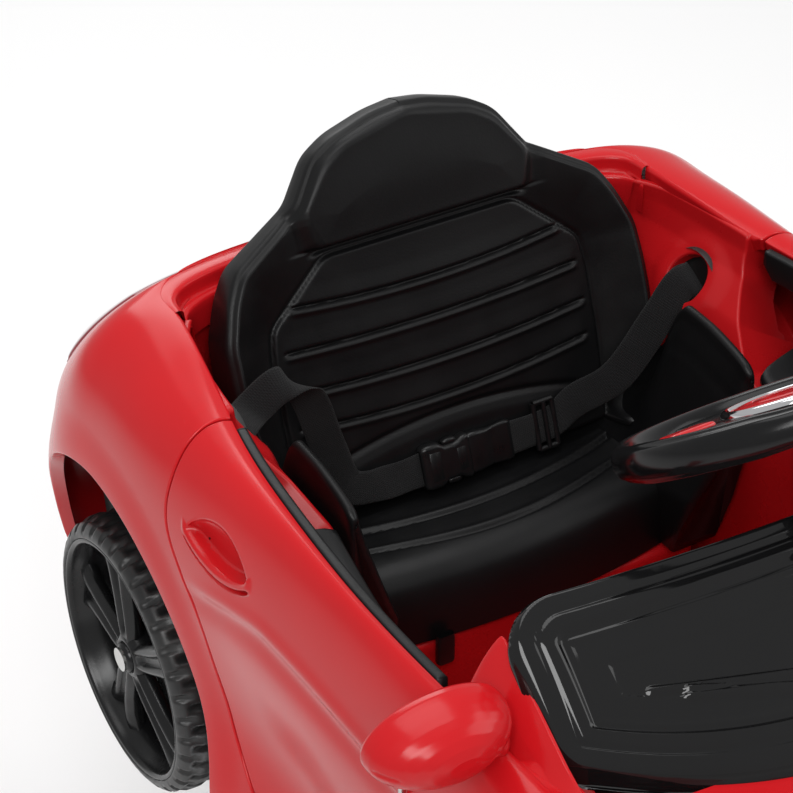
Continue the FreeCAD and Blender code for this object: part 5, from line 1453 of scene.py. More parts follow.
# ------------------------------------------------------------------ belt webbing
def webbing(name, pts, wds, node, w=25.0, t=1.7, cup=0.5, wrinkle=0.0):
    p = catmull(pts, 150)
    d0 = np.r_[0, np.cumsum(np.linalg.norm(np.diff(np.asarray(pts, float), axis=0), axis=1))]
    s = np.linspace(0, d0[-1], 150)
    wd = np.stack([np.interp(s, d0, np.asarray(wds, float)[:, k]) for k in range(3)], -1)
    tn = np.gradient(p, axis=0)
    tn /= np.linalg.norm(tn, axis=1, keepdims=True)
    wd = wd - tn * np.sum(wd * tn, 1, keepdims=True)
    wd /= np.linalg.norm(wd, axis=1, keepdims=True)
    nv = np.cross(tn, wd)
    prof = []
    for a in np.linspace(-1, 1, 13):
        prof.append((a * w / 2, t / 2 * (1 - 0.55 * abs(a) ** 6)))
    for a in np.linspace(1, -1, 13):
        prof.append((a * w / 2, -t / 2 * (1 - 0.55 * abs(a) ** 6)))
    prof = np.array(prof)
    L_ = np.r_[0, np.cumsum(np.linalg.norm(np.diff(p, axis=0), axis=1))]
    cupv = cup * (1 - (prof[:, 0] / (w / 2)) ** 2)
    wob = wrinkle * np.sin(L_ / 17.0 + 0.7) * np.sin(L_ / 7.3)
    g = p[:, None] + wd[:, None] * prof[None, :, 0:1] + nv[:, None] * (prof[None, :, 1:2] + cupv[None, :, None] + wob[:, None, None] * (prof[None, :, 0:1] / w))
    uv = np.stack([np.broadcast_to(prof[:, 0] / 1000.0 + 0.5, g.shape[:2]), np.broadcast_to(L_[:, None] / 1000.0, g.shape[:2])], -1)
    M = Mesh()
    M.grid(g, cv=True, uv=uv)
    M.poly(g[0], [tuple(range(26))])
    M.poly(g[-1], [tuple(range(26))])
    o = M.out(name, WEB, "car", slot="webbing", weld=False, recalc=True, replaces=(node,))
    return o


def bp(x, d, h):
    return tuple(float(v) for v in back_pt(x, d, h))


webbing("belt_strap_right", [(-186, 14, 327), (-168, -1, 325), (-148, 0, 338), (-134, -1, 332), (-121, -5, 310), (-108, -6, 268), bp(-96, 12, 30), bp(-66, 9.5, 22), bp(-36.0, 9.4, 22)],
        [(0.4, 0.7, -0.6), (0.4, 0.7, -0.6), (0.4, 0.7, -0.6), (0.6, 0.5, -0.2), (0.7, 0.3, 0.2), (0.7, 0.2, 0.3), (0.5, -0.1, 0.8), (0, -0.34, 0.94), (0, -0.34, 0.94)], "belt_right", wrinkle=2.2)
webbing("belt_strap_left", [(186, 15, 324), (172, 15, 321), (154, 16, 300), (124, 12, 258), bp(96, 13, 34), bp(78, 9.6, 24), bp(60, 9.4, 22), bp(37.0, 9.4, 22)],
        [(-0.56, -0.68, 0.42), (-0.56, -0.68, 0.42), (-0.56, -0.68, 0.42), (-0.4, -0.6, 0.6), (-0.15, -0.4, 0.9), (0, -0.34, 0.94), (0, -0.34, 0.94), (0, -0.34, 0.94)], "belt_left", wrinkle=1.6)


def shell_along_x(name, secs, body, mat, slot, node, n=6, cap=True):
    """Closed loft of rounded rectangles on the seat back: (x, d centre, h centre, d size, h size, corner)."""
    rows = []
    for x, dc, hc, ds, hs, r in secs:
        q = rr_profile(ds, hs, min(r, ds * 0.49, hs * 0.49), n)
        rows.append(back_pt(np.full(len(q), x), dc + q[:, 0], hc + q[:, 1]))
    M = Mesh()
    M.grid(np.array(rows), cv=True)
    if cap:
        M.poly(rows[0], [tuple(range(len(rows[0])))])
        M.poly(rows[-1], [tuple(range(len(rows[-1])))])
    return M


# socket half, waisted where the latch arms show
M = shell_along_x("socket", [(-37, 9.4, 22, 5.4, 28, 2.4), (-35.6, 9.4, 22, 8.4, 32, 3), (-32, 9.4, 22, 10.2, 34, 3.6), (-24, 9.4, 22, 10.8, 34, 3.8), (-21, 9.4, 22, 10.8, 31.4, 3.8),
                             (-18.5, 9.4, 22, 10.8, 27.0, 3.6), (-10, 9.4, 22, 10.8, 26.0, 3.6), (-6.5, 9.4, 22, 10.8, 28.0, 3.6), (-3.5, 9.4, 22, 10.8, 32.0, 3.6), (0.5, 9.4, 22, 10.6, 33.6, 3.4), (1.8, 9.4, 22, 9.6, 32.6, 3.0)], "car", BUCKLE, "buckle_black", "buckle_socket")
for hc, sgn in ((37.2, 1), (6.8, -1)):
    rows = []
    for x, ds, hs in ((-18, 3.0, 1.5), (-17, 5.2, 3.4), (-15, 6.2, 4.6), (-12, 6.6, 5.2), (-9, 6.2, 4.6), (-7, 5.2, 3.2), (-6, 3.0, 1.5)):
        q = rr_profile(ds, hs, min(ds, hs) * 0.42, 4)
        rows.append(back_pt(np.full(len(q), x), 9.4 + q[:, 0], hc - sgn * 0.6 + q[:, 1]))
    M.grid(np.array(rows), cv=True)
# raised panel and rib on the face
for x0, x1, hs, top in ((-31, -22, 22, 15.1), (-9, -1, 18, 15.0)):
    q = [(x0, 22 - hs / 2), (x1, 22 - hs / 2), (x1, 22 + hs / 2), (x0, 22 + hs / 2)]
    low = back_pt([a for a, _ in q], [14.4] * 4, [b for _, b in q])
    hi_ = back_pt([a * 0.86 + (x0 + x1) / 2 * 0.14 for a, _ in q], [top] * 4, [b * 0.92 + 22 * 0.08 for _, b in q])
    M.poly(np.vstack([low, hi_]), [(0, 1, 5, 4), (1, 2, 6, 5), (2, 3, 7, 6), (3, 0, 4, 7), (4, 5, 6, 7)])
M.out("buckle_socket_shell", BUCKLE, "car", slot="buckle_black", recalc=True, weld=False, replaces=("buckle_socket",))
M = shell_along_x("plug", [(2.6, 9.4, 22, 7.4, 29.6, 2.6), (4.0, 9.4, 22, 8.4, 31.0, 3.0), (10, 9.4, 22, 8.6, 31.0, 3.2), (17, 9.4, 22, 7.4, 29.0, 3.0), (21, 9.4, 22, 5.2, 28.4, 2.2), (24, 9.4, 22, 4.4, 29.0, 2.0),
                           (30, 9.4, 22, 4.4, 30.0, 2.0), (34, 9.4, 22, 5.6, 30.8, 2.4), (37.4, 9.4, 22, 5.4, 30.0, 2.4), (38.8, 9.4, 22, 3.8, 28.4, 1.6)], "car", BUCKLE, "buckle_black", "buckle_plug")
M.out("buckle_plug_shell", BUCKLE, "car", slot="buckle_black", recalc=True, weld=False, replaces=("buckle_plug",))
# tri-glide: an open frame of round bars with a centre bar
M = Mesh()
for a, b in (((61, 5.5), (61, 41)), ((77, 5.5), (77, 41)), ((69, 5.5), (69, 41)), ((61, 5.5), (77, 5.5)), ((61, 41), (77, 41))):
    t = np.linspace(0, 1, 5)[:, None]
    path = back_pt(a[0] + (b[0] - a[0]) * t[:, 0], np.full(5, 9.6 + (1.6 if a[0] == b[0] == 69 else 0.0)), a[1] + (b[1] - a[1]) * t[:, 0])
    g = tube_grid(path, 1.9 if a[0] == b[0] == 69 else 2.3, (0.3, 0.9, 0.3), 12)
    M.grid(g, cv=True)
    M.poly(g[0], [tuple(range(12))])
    M.poly(g[-1], [tuple(range(12))])
M.out("belt_slider_frame", BUCKLE, "car", slot="buckle_black", recalc=True, weld=False, replaces=("belt_slider",))


# ------------------------------------------------------------------ windshield moulding
SW = 209.0


def screen_pt(a, b, up=0.0):
    a, b = np.broadcast_arrays(np.asarray(a, float), np.asarray(b, float))
    aa = np.minimum(np.abs(a), 0.985)
    ft, fb = 362 - 16 * aa ** 1.6, 474 - 66 * aa ** 2.4
    f = ft + (fb - ft) * b
    z = 420 + 1.5 * a * a - (80 - 14 * aa ** 3) * b + 5 * np.sin(np.pi * b)
    return np.stack([SW * a, f, z + 4.0 + up], -1)


na, nb = 241, 121
ga = np.linspace(-0.985, 0.985, na)
gb = np.linspace(0, 1, nb)
GA, GB = np.meshgrid(ga, gb, indexing="ij")
P0 = screen_pt(GA, GB)
# distance to the border, in mm, with generous upper corners
wid = 2 * SW * 0.985
sx_ = SW * 0.985 - np.abs(P0[..., 0])
len_f = np.hypot(P0[:, -1, 1] - P0[:, 0, 1], P0[:, -1, 2] - P0[:, 0, 2])[:, None]
top_d = GB * len_f
bot_d = (1 - GB) * len_f
RC = 34.0


def corner_dist(a, b, r):
    return np.where((a < r) & (b < r), r - np.hypot(r - a, r - b), np.minimum(a, b))


ed = np.minimum(corner_dist(sx_, top_d, RC), corner_dist(sx_, bot_d, 16.0))
up = -6.0 * smooth(6.5, -0.5, ed) ** 1.5
up = up - 1.5 * np.exp(-((ed - 15.5) / 1.5) ** 2)
up = up - 4.4 * smooth(24.0, 29.5, ed)
up = up + 1.0 * np.exp(-((ed - 31.5) / 2.0) ** 2)
# a shallow second step in the field and moulded bars
up = up - 1.0 * smooth(47, 50, ed)
# moulded wiper: an arm rising from the lower edge, with a blade lying along it
fx, fy = P0[..., 0], top_d


def seg_d(x, y, a, b):
    a, b = np.array(a, float), np.array(b, float)
    l = np.linalg.norm(b - a)
    t = np.clip(((x - a[0]) * (b[0] - a[0]) + (y - a[1]) * (b[1] - a[1])) / l ** 2, 0, 1)
    return np.hypot(x - a[0] - t * (b[0] - a[0]), y - a[1] - t * (b[1] - a[1])), t


L0 = 118.0
for x0, sgn in ((-30, -1), (84, -1)):
    d1, t1 = seg_d(fx, fy, (x0, 104.0), (x0 + sgn * 92, 78.0))
    up = up + 2.4 * smooth(4.6, 2.2, d1)
    d2, t2 = seg_d(fx, fy, (x0 - sgn * 4, 93.0), (x0 + sgn * 112, 70.0))
    up = up + 1.8 * smooth(3.2, 1.6, d2)
    up = up + 3.0 * smooth(9.0, 6.0, np.hypot(fx - x0, fy - 104.0))
PS = P0.copy()
PS[..., 2] += up
# rounded outline: points outside the corner arcs are drawn in to them
out_ = ed < 0
cx = np.sign(P0[..., 0]) * (SW * 0.985 - RC)
for (i, j) in zip(*np.where(out_)):
    r_ = RC if top_d[i, j] < 60 else 16.0
    dx, dy = r_ - sx_[i, j], r_ - (top_d[i, j] if r_ == RC else bot_d[i, j])
    k = r_ / math.hypot(dx, dy)
    nx, ny = r_ - dx * k, r_ - dy * k
    xx = math.copysign(SW * 0.985 - nx, P0[i, j, 0])
    bb = (ny if r_ == RC else len_f[i, 0] - ny) / len_f[i, 0]
    PS[i, j] = screen_pt(xx / SW, bb)
    PS[i, j, 2] -= 6.0
lowp = PS.copy()
edge_ring = lambda G: np.vstack([G[:, 0], G[-1, 1:], G[:-1, -1][::-1], G[0, 1:-1][::-1]])
eR = edge_ring(PS)
cen_ = eR.mean(0)
M = Mesh()
M.grid(PS)
inn = eR.copy()
v_ = inn[:, :2] - cen_[:2]
v_ /= np.linalg.norm(v_, axis=1, keepdims=True)
r1, r2, r3 = eR.copy(), eR.copy(), eR.copy()
r1[:, :2] += v_ * 0.6
r1[:, 2] -= 1.8
r2[:, :2] += v_ * 0.2
r2[:, 2] -= 5.5
r3[:, :2] -= v_ * 3.0
r3[:, 2] -= 6.4
M.grid(np.array([eR, r1, r2, r3]), cv=True)
und = PS.copy()
und[..., 2] = screen_pt(GA, GB)[..., 2] - 10.5
M.grid(und, flip=True)
eU = edge_ring(und)
M.grid(np.array([r3, eU]), cv=True)
M.out("windshield_moulding", SCREEN, "car", slot="screen_black", recalc=True, weld=True, replaces=("windshield_panel",))


# ------------------------------------------------------------------ steering wheel
CT, ST = math.cos(STEER_TILT), math.sin(STEER_TILT)


def st(x, y, z):
    x, y, z = np.broadcast_arrays(np.asarray(x, float), np.asarray(y, float), np.asarray(z, float))
    return np.stack([x, STEER_F - (y * CT + z * ST), STEER_Z - y * ST + z * CT], -1)


def st_rev(M, prof, n=96, close=False, cx=0.0, cy=0.0, cap=False, mat=0):
    """Profile (radius, z) turned about the wheel's own axis."""
    a = np.linspace(0, 2 * np.pi, n, endpoint=False)
    pr_ = np.asarray(prof, float)
    g = st(cx + pr_[None, :, 0] * np.cos(a)[:, None], cy + pr_[None, :, 0] * np.sin(a)[:, None], np.broadcast_to(pr_[None, :, 1], (n, len(pr_))))
    M.grid(g, cu=True, cv=close, mat=mat)
    if cap:
        M.poly(g[:, -1], [tuple(range(n))], mat=mat)
    return g


M = Mesh()
sec = []
for k in range(40):
    a = 2 * np.pi * k / 40
    rr0, zz0 = 8.5 * math.cos(a), 11.4 * math.sin(a)
    # a seam groove runs round the front face, a flat facet round the inside
    sgn_ = 1.0
    gro = 1.15 * math.exp(-((math.degrees(a) - 63) / 7.5) ** 2) + 0.9 * math.exp(-((math.degrees(a) - 300) / 7.0) ** 2)
    L_ = math.hypot(rr0, zz0)
    sec.append((100.5 + rr0 * (1 - gro / L_), zz0 * (1 - gro / L_) - 5.4))
na_ = 168
ang = np.linspace(0, 2 * np.pi, na_, endpoint=False)
secs = np.array(sec)
RIMP = np.zeros((na_, 40, 3))
for i, a in enumerate(ang):
    # thumb grips swell the ring at ten and two
    dg = abs((math.degrees(a) % 180) - 90)
    grip = 0.0
    for c0 in (200, 340):
        dd_ = abs((math.degrees(a) - c0 + 180) % 360 - 180)
        grip = max(grip, float(smooth(34, 20, dd_)))
    s_ = (secs - [100.5, -5.4]) * (1 - 0.09 * (1 - grip)) + [100.5, -5.4]
    RIMP[i] = st(s_[:, 0] * math.cos(a), s_[:, 0] * math.sin(a), s_[:, 1])
M.grid(RIMP, cu=True, cv=True)
M.out("steering_ring", TRIM, "steering", slot="trim_black", recalc=True, replaces=("steering_wheel",))


def spoke(name, p0, p1, w0, w1, wm, zt, zb, sag, n=40):
    """A spoke from the hub to the ring: rounded, wider where it meets either."""
    p0, p1 = np.array(p0, float), np.array(p1, float)
    d = (p1 - p0) / np.linalg.norm(p1 - p0)
    s = np.array([-d[1], d[0]])
    rows = []
    for t in np.linspace(0, 1, n):
        w = wm + (w0 - wm) * (1 - t) ** 3 + (w1 - wm) * t ** 4
        th = zt - zb
        zc0 = (zt + zb) / 2 - sag * math.sin(math.pi * t)
        prof = rr_profile(w, th, min(3.6, th * 0.45), 5)
        crown = 1.4 * (1 - (prof[:, 0] / (w / 2)) ** 2) * (prof[:, 1] > 0)
        groove_ = -1.5 * np.exp(-((np.abs(prof[:, 0]) - w * 0.30) / 1.6) ** 2) * (prof[:, 1] > 0)
        c = p0 + (p1 - p0) * t
        rows.append(st(c[0] + s[0] * prof[:, 0], c[1] + s[1] * prof[:, 0], zc0 + prof[:, 1] + crown + groove_))
    return np.array(rows)


def slab_with_pocket(sg):
    """Side bar with a sunk rectangle for the button."""
    nx, ny = 61, 47
    X = np.linspace(36, 93.5, nx)
    Y = np.linspace(-1, 1, ny)
    XX_, YY_ = np.meshgrid(X, Y, indexing="ij")
    wy = np.interp(X, [36, 50, 78, 93.5], [23.0, 20.0, 20.0, 23.5])[:, None]
    y = 2.0 + YY_ * wy
    z = 1.6 - 3.4 * np.abs(YY_) ** 4 - 2.6 * smooth(87, 93.5, XX_)
    ex = np.minimum(np.minimum(XX_ - 55.6, 88.2 - XX_), 1e3)
    ey = np.minimum(y + 6.7, 10.7 - y)
    ins = np.minimum(ex, ey)
    z = z - 8.3 * smooth(-0.35, 0.35, ins) + 0.9 * smooth(-2.6, -0.8, ins) * smooth(0.0, -0.7, ins)
    low = -13.2 + 2.2 * np.abs(YY_) ** 4
    return np.stack([sg * XX_, y, z], -1), np.stack([sg * XX_, y, low], -1)


for sg, nm in ((1, "left"), (-1, "right")):
    a_, b_ = slab_with_pocket(sg)
    M = Mesh()
    A_ = st(a_[..., 0], a_[..., 1], a_[..., 2])
    B_ = st(b_[..., 0], b_[..., 1], b_[..., 2])
    M.grid(A_)
    M.grid(B_, flip=True)
    eA, eB = edge_ring(A_), edge_ring(B_)
    mid_ = (eA + eB) / 2
    M.grid(np.array([eA, mid_, eB]), cv=True)
    M.out("steering_spoke_" + nm, TRIM, "steering", slot="trim_black", recalc=True, replaces=("steering_wheel",))
M = Mesh()
rows = spoke("low", (0, 30), (0, 97.0), 58, 64, 44, -1.6, -13.6, 2.0)
M.grid(rows, cv=True)
M.out("steering_spoke_low", TRIM, "steering", slot="trim_black", recalc=True, replaces=("steering_wheel",))
M = Mesh()
st_rev(M, [(0.01, -20), (14, -20), (30, -19.4), (40, -17), (44.6, -12), (46, -7), (45.6, -3.6), (44.4, -1.4), (43.2, -0.6), (40.5, -0.4), (39.5, -1.2), (38, -1.4), (0.01, -1.4)], 96)
M.out("steering_hub", TRIM, "steering", slot="trim_black", recalc=True, replaces=("steering_wheel",))
# hub cap: a bright ring round a plain red insert
M = Mesh()
st_rev(M, [(43.0, -0.4), (43.2, 1.2), (42.6, 3.2), (41.0, 4.6), (39.2, 4.9), (38.0, 4.4), (37.2, 3.2)], 96)
st_rev(M, [(37.2, 3.2), (36.6, 2.7), (35.8, 3.0), (34.0, 3.9), (30, 4.5), (24.6, 4.8), (24.0, 4.3), (23.4, 4.3), (22.8, 4.8), (14, 5.0), (0.01, 5.1)], 96, mat=1)
M.out("steering_cap", [CHROME, BUTTON], "steering", slot="button_red", recalc=True, replaces=("wheel_hub_cover",))
for sg, nm, bd in ((1, "left", "horn_left"), (-1, "right", "horn_right")):
    rows = []
    for k, z in ((0.97, -3.8), (1, -3.0), (1, 2.6), (0.985, 3.6), (0.94, 4.2), (0.86, 4.55), (0.5, 4.7), (0.02, 4.75)):
        q = rr_profile(30.6 * k, 15.8 * k, 2.6 * k + 0.01, 5)
        rows.append(st(sg * 72 + q[:, 0], 2.0 + q[:, 1], np.full(len(q), z)))
    M = Mesh()
    M.grid(np.array(rows), cv=True)
    M.poly(rows[-1], [tuple(range(len(rows[-1])))])
    M.poly(rows[0], [tuple(range(len(rows[0])))])
    M.out("horn_key_" + nm, BUTTON, bd, slot="button_red", recalc=True, replaces=("horn_button_" + nm,))


# ------------------------------------------------------------------ ribbed boot on the column
M = Mesh()
prof = [(9.0, 105.0), (25.6, 105.0), (26.2, 103.0), (26.2, 96.6), (25.2, 95.0), (24.4, 93.0)]
for k in range(7):
    s0 = 90.0 - k * 6.1
    r0_ = 24.0 - k * 1.45
    prof += [(r0_, s0), (r0_ - 0.2, s0 - 1.4), (r0_ - 2.6, s0 - 3.4), (r0_ - 2.8, s0 - 4.4), (r0_ - 1.9, s0 - 5.6)]
prof += [(14.2, 48.6), (13.4, 48.0), (11.4, 48.0)]
n = 64
aa_ = np.linspace(0, 2 * np.pi, n, endpoint=False)
pr_ = np.array(prof)
M.grid(st(pr_[None, :, 0] * np.cos(aa_)[:, None], pr_[None, :, 0] * np.sin(aa_)[:, None], -np.broadcast_to(pr_[None, :, 1], (n, len(pr_)))), cu=True)
M.out("column_gaiter", RUBBER, "car", slot="rubber_black", recalc=True, replaces=("column_boot",))


# ------------------------------------------------------------------ wheels
def ring_pts(prof, cf, cz, sg, n):
    a = np.linspace(0, 2 * np.pi, n, endpoint=False)
    p = np.asarray(prof, float)
    return np.stack([sg * np.broadcast_to(p[None, :, 0], (n, len(p))), cf + p[None, :, 1] * np.cos(a)[:, None], cz + p[None, :, 1] * np.sin(a)[:, None]], -1)


def make_tyre(name, cf, sg, body, node):
    M = Mesh()
    nb_ = 36
    steps = 16
    n = nb_ * steps
    prof = [(203.4, 92.0), (201.2, 93.2), (200.3, 95.5), (200.8, 98.2), (203, 101.2), (206.4, 103.2), (209.5, 104.1), (214, 104.6), (222, 104.9), (229, 105.0), (236, 104.9), (243, 104.6),
            (248.2, 103.9), (251.8, 102.4), (254.8, 100.0), (256.8, 97.0), (257.8, 94.0), (257.6, 92.4), (256.4, 91.9)]
    p = np.array(prof)
    a = np.linspace(0, 2 * np.pi, n, endpoint=False)
    ph = (np.arange(n) % steps) / steps
    g = np.zeros((n, len(p), 3))
    for j, (x, r) in enumerate(p):
        face = smooth(211, 214, x) * smooth(246.5, 243.5, x)
        shoulder = smooth(247, 251, x) * smooth(257.2, 254, x) + smooth(209.5, 206.5, x) * smooth(201, 204, x)
        centre = np.exp(-((x - 229) / 2.2) ** 2)
        cut = 1 - smooth(0.10, 0.19, np.minimum(ph, 1 - ph))
        ph2 = (ph + (0.5 if x > 229 else 0.0)) % 1.0
        cut2 = 1 - smooth(0.09, 0.16, np.minimum(ph2, 1 - ph2))
        rr_ = r - 3.6 * cut * shoulder - 3.4 * cut2 * np.maximum(face, 0) * (1 - centre) - 2.4 * centre
        if abs(x - 209.5) < 0.6 or abs(x - 248.2) < 0.3:
            rr_ = rr_ - 1.7
        g[:, j] = np.stack([np.full(n, sg * x), cf + rr_ * np.cos(a), 105 + rr_ * np.sin(a)], -1)
    M.grid(g, cu=True)
    M.out(name, TYRE, body, slot="tyre_black", recalc=True, replaces=(node,))


def make_rim(name, cf, sg, body, node):
    M = Mesh()
    n = 160
    barrel = [(204.2, 91.8), (204.2, 87.5), (206, 86.2), (212, 83.2), (222, 81.2), (236, 81.0), (244, 83.4), (250, 86.0), (253.6, 87.4), (255.6, 87.6), (257.0, 88.6), (257.6, 90.2), (257.2, 91.6), (256.2, 92.0)]
    M.grid(ring_pts(barrel, cf, 105, sg, n), cu=True)
    # the wheel is open behind its spokes: only the long hub runs inwards
    M.grid(ring_pts([(222, 20.0), (221, 18.6), (219.5, 15.6), (218, 15.0), (203.4, 15.0), (202.2, 14.0), (202.0, 5.4)], cf, 105, sg, 72), cu=True)
    hub = [(222, 20.0), (240, 20.0), (246, 19.4), (249.6, 17.6), (251.2, 15.0), (251.8, 13.6), (251.4, 12.4), (249.8, 11.6), (247.6, 11.2), (246.6, 10.2), (246.2, 5.4)]
    M.grid(ring_pts(hub, cf, 105, sg, 80), cu=True)
    # five star spokes, each a ridged pair of arms round a channel
    for k in range(5):
        a0 = math.radians(90 + 72 * k + 10)
        ts = np.linspace(0, 1, 26)
        prof_n = 21
        rows = []
        for t in ts:
            r_ = 13.0 + t * 72.5
            hw = np.interp(r_, [13, 22, 34, 52, 70, 80, 85.5], [9.0, 11.0, 12.4, 13.6, 17.0, 23.0, 29.0])
            face = np.interp(r_, [13, 24, 60, 80, 85.5], [250.6, 250.6, 249.0, 248.0, 247.0])
            row_ = []
            for q in np.linspace(-1, 1, prof_n):
                chan = smooth(0.42, 0.16, abs(q)) * smooth(16, 26, r_)
                ridge = np.exp(-((abs(q) - 0.60) / 0.16) ** 2)
                x_ = face - 5.2 * abs(q) ** 3.2 + 1.4 * ridge - 4.6 * chan
                yy = q * hw
                row_.append((x_, r_, yy))
            for q in (1.0, 0.6, 0.0, -0.6, -1.0):
                row_.append((face - 13.0 + (1.2 if abs(q) == 1.0 else 0), r_, q * hw * 0.86))
            rows.append(row_)
        rows = np.array(rows)
        tw = math.radians(5.0) * np.clip((rows[..., 1] - 20) / 65, 0, 1)
        ca, sa = np.cos(a0 + tw), np.sin(a0 + tw)
        F_ = cf + rows[..., 1] * ca - rows[..., 2] * sa
        Z_ = 105 + rows[..., 1] * sa + rows[..., 2] * ca
        M.grid(np.stack([sg * rows[..., 0], F_, Z_], -1), cv=True)
    o = M.out(name, RIM, body, slot="rim_black", recalc=True, replaces=(node,))
    # cap nut
    M = Mesh()
    M.grid(ring_pts([(249.0, 11.6), (252.6, 11.5), (254.4, 10.2), (255.4, 7.0), (255.8, 3.4), (255.9, 0.02)], cf, 105, sg, 48), cu=True)
    M.out(name + "_cap", RIM, body, slot="rim_black", recalc=True)


for end, cf in (("rear", REAR_F), ("front", FRONT_F)):
    for nm, sg in (("left", 1), ("right", -1)):
        w_ = "wheel_" + end + "_" + nm
        make_tyre("tyre_" + end + "_" + nm + "_tread", cf, sg, w_, "tyre_" + end + "_" + nm)
        make_rim("rim_" + end + "_" + nm + "_star", cf, sg, w_, "rim_" + end + "_" + nm)


# ------------------------------------------------------------------ mirrors
MIRX, MIRZ = 259.0, 384.0
for nm, sg in (("left", 1), ("right", -1)):
    tab = [(372.2, 40.6, 22.2), (372.8, 42.0, 23.6), (374.6, 42.9, 24.5), (378, 43, 25), (383, 42.6, 24.6), (388, 41, 23.5), (394, 37.6, 21.0), (399, 33.2, 18.4), (403.5, 27.0, 15.0), (407, 19.4, 10.8), (409.4, 10.0, 5.6), (410.2, 0.05, 0.05)]
    tf = np.array([t[0] for t in tab])
    idx = np.linspace(0, len(tab) - 1, 110)
    ff_ = np.interp(idx, range(len(tab)), tf)
    rx = np.interp(idx, range(len(tab)), [t[1] for t in tab])
    rz = np.interp(idx, range(len(tab)), [t[2] for t in tab])
    # smooth the silhouette
    ker = np.hanning(9)
    ker /= ker.sum()
    rx = np.r_[rx[:4], np.convolve(rx, ker, "valid"), rx[-4:]]
    rz = np.r_[rz[:4], np.convolve(rz, ker, "valid"), rz[-4:]]
    n = 180
    a = np.linspace(0, 2 * np.pi, n, endpoint=False)
    A_, I_ = np.meshgrid(a, np.arange(110), indexing="ij")
    X_ = rx[I_] * np.cos(A_)
    Z_ = rz[I_] * np.sin(A_)
    F_ = ff_[I_].copy()
    low = np.maximum(-np.sin(A_), 0)
    cut = 0.0
    # long grooves run across the lower part of the shell
    for f0, dep in ((379.5, 1.5), (384.5, 1.5), (389.5, 1.4)):
        cut = cut + dep * np.exp(-((F_ - f0 - 2.0 * np.cos(A_) ** 2) / 0.85) ** 2) * smooth(0.35, 0.6, low)
    slot_ = 1.5 * np.exp(-((Z_ + 2) / 1.1) ** 2) * smooth(0.55, 0.72, -sg * -np.cos(A_)) * smooth(384, 388, F_) * smooth(400, 396, F_)
    cut = cut + slot_
    L_ = np.hypot(X_, Z_) + 1e-6
    k_ = np.clip(1 - cut / L_, 0, 1)
    tilt = 0.10
    P_ = np.stack([sg * MIRX + X_ * k_, F_ + 0.0 * X_, MIRZ + Z_ * k_ - 0.0 * X_], -1)
    M = Mesh()
    M.grid(P_, cu=True)
    # the rim of the opening and its seat
    rows = []
    for f, kx, kz in ((372.2, 40.6, 22.2), (372.4, 39.6, 21.2), (373.4, 38.6, 20.2), (376.4, 38.2, 19.8), (376.6, 0.05, 0.05)):
        rows.append(np.stack([sg * MIRX + kx * np.cos(a), np.full(n, f), MIRZ + kz * np.sin(a)], -1))
    M.grid(np.array(rows), cv=True)
    M.out("mirror_shell_" + nm, RED, "car", slot="body_red", recalc=True, weld=False, replaces=("mirror_" + nm,))
    M = Mesh()
    path = np.array([(sg * 224, 385, 366), (sg * 228, 385, 368), (sg * 235, 386, 372), (sg * 243, 386, 377), (sg * 250, 386, 382)], float)
    g = tube_grid(catmull(path, 24), np.linspace(9.2, 6.0, 24), (0, 1, 0), 24, flat=1.1)
    M.grid(g, cv=True)
    M.poly(g[0], [tuple(range(24))])
    M.poly(g[-1], [tuple(range(24))])
    M.out("mirror_stalk_" + nm, RED, "car", slot="body_red", recalc=True, replaces=("mirror_" + nm,))
    M = Mesh()
    rows = []
    for f, k in ((375.9, 0.985), (374.6, 1.0), (374.3, 0.985), (374.1, 0.95), (373.9, 0.6), (373.8, 0.01)):
        rows.append(np.stack([sg * MIRX + 37.6 * k * np.cos(a), np.full(n, f), MIRZ + 19.1 * k * np.sin(a)], -1))
    M.grid(np.array(rows), cv=True)
    M.out("mirror_face_" + nm, MIRROR, "car", slot="mirror_face", recalc=True, replaces=("mirror_glass_" + nm,))


# ------------------------------------------------------------------ tail lamps, following the body
def lamp_surface(name, u0, u1, v0, v1, out, body, slot, node, mat, n1=70, n2=30):
    us = np.linspace(u0, u1, n1)
    vs = np.linspace(v0, v1, n2)
    UU, VV = np.meshgrid(us, vs, indexing="ij")
    p = BODY.at(UU, VV)
    nn = BODY.normal(UU, VV) * SGN
    su = np.minimum(np.arange(n1), n1 - 1 - np.arange(n1))[:, None] / (n1 - 1) * 2
    sv = np.minimum(np.arange(n2), n2 - 1 - np.arange(n2))[None, :] / (n2 - 1) * 2
    e = np.minimum(su * 6, sv * 2.2)
    top = p + nn * (0.6 + (out - 0.6) * np.clip(e, 0, 1)[..., None] ** 0.5)
    # the back face lies 1 mm under the body surface
    bot = p - nn * 1.0
    M = Mesh()
    M.grid(top)
    M.grid(np.array([edge_ring(top), edge_ring(bot)]), cv=True)
    M.out(name, mat, body, slot=slot, recalc=True, replaces=(node,))


def sided(u0, u1):
    return "left" if BODY.at(np.array([(u0 + u1) / 2]), np.array([0.75]))[0, 0] > 0 else "right"


tq = u_of_f(-60) - U_REAR
for k in (1, -1):
    ua, ub = U_REAR + k * tq * 0.16, U_REAR + k * tq * 0.73
    lamp_surface("tail_lamp_" + sided(ua, ub), ua, ub, 0.67, 0.86, 3.4, "car", "lens_red", "taillight_" + sided(ua, ub), LENS_RED)
hq = U_MID - u_of_f(650)
for k in (1, -1):
    ua, ub = U_MID - k * hq * 0.90, U_MID - k * hq * 0.42
    lamp_surface("head_lamp_" + sided(ua, ub), ua, ub, 0.66, 0.90, 3.2, "car", "lens_clear", "headlight_" + sided(ua, ub), LENS_CLEAR)

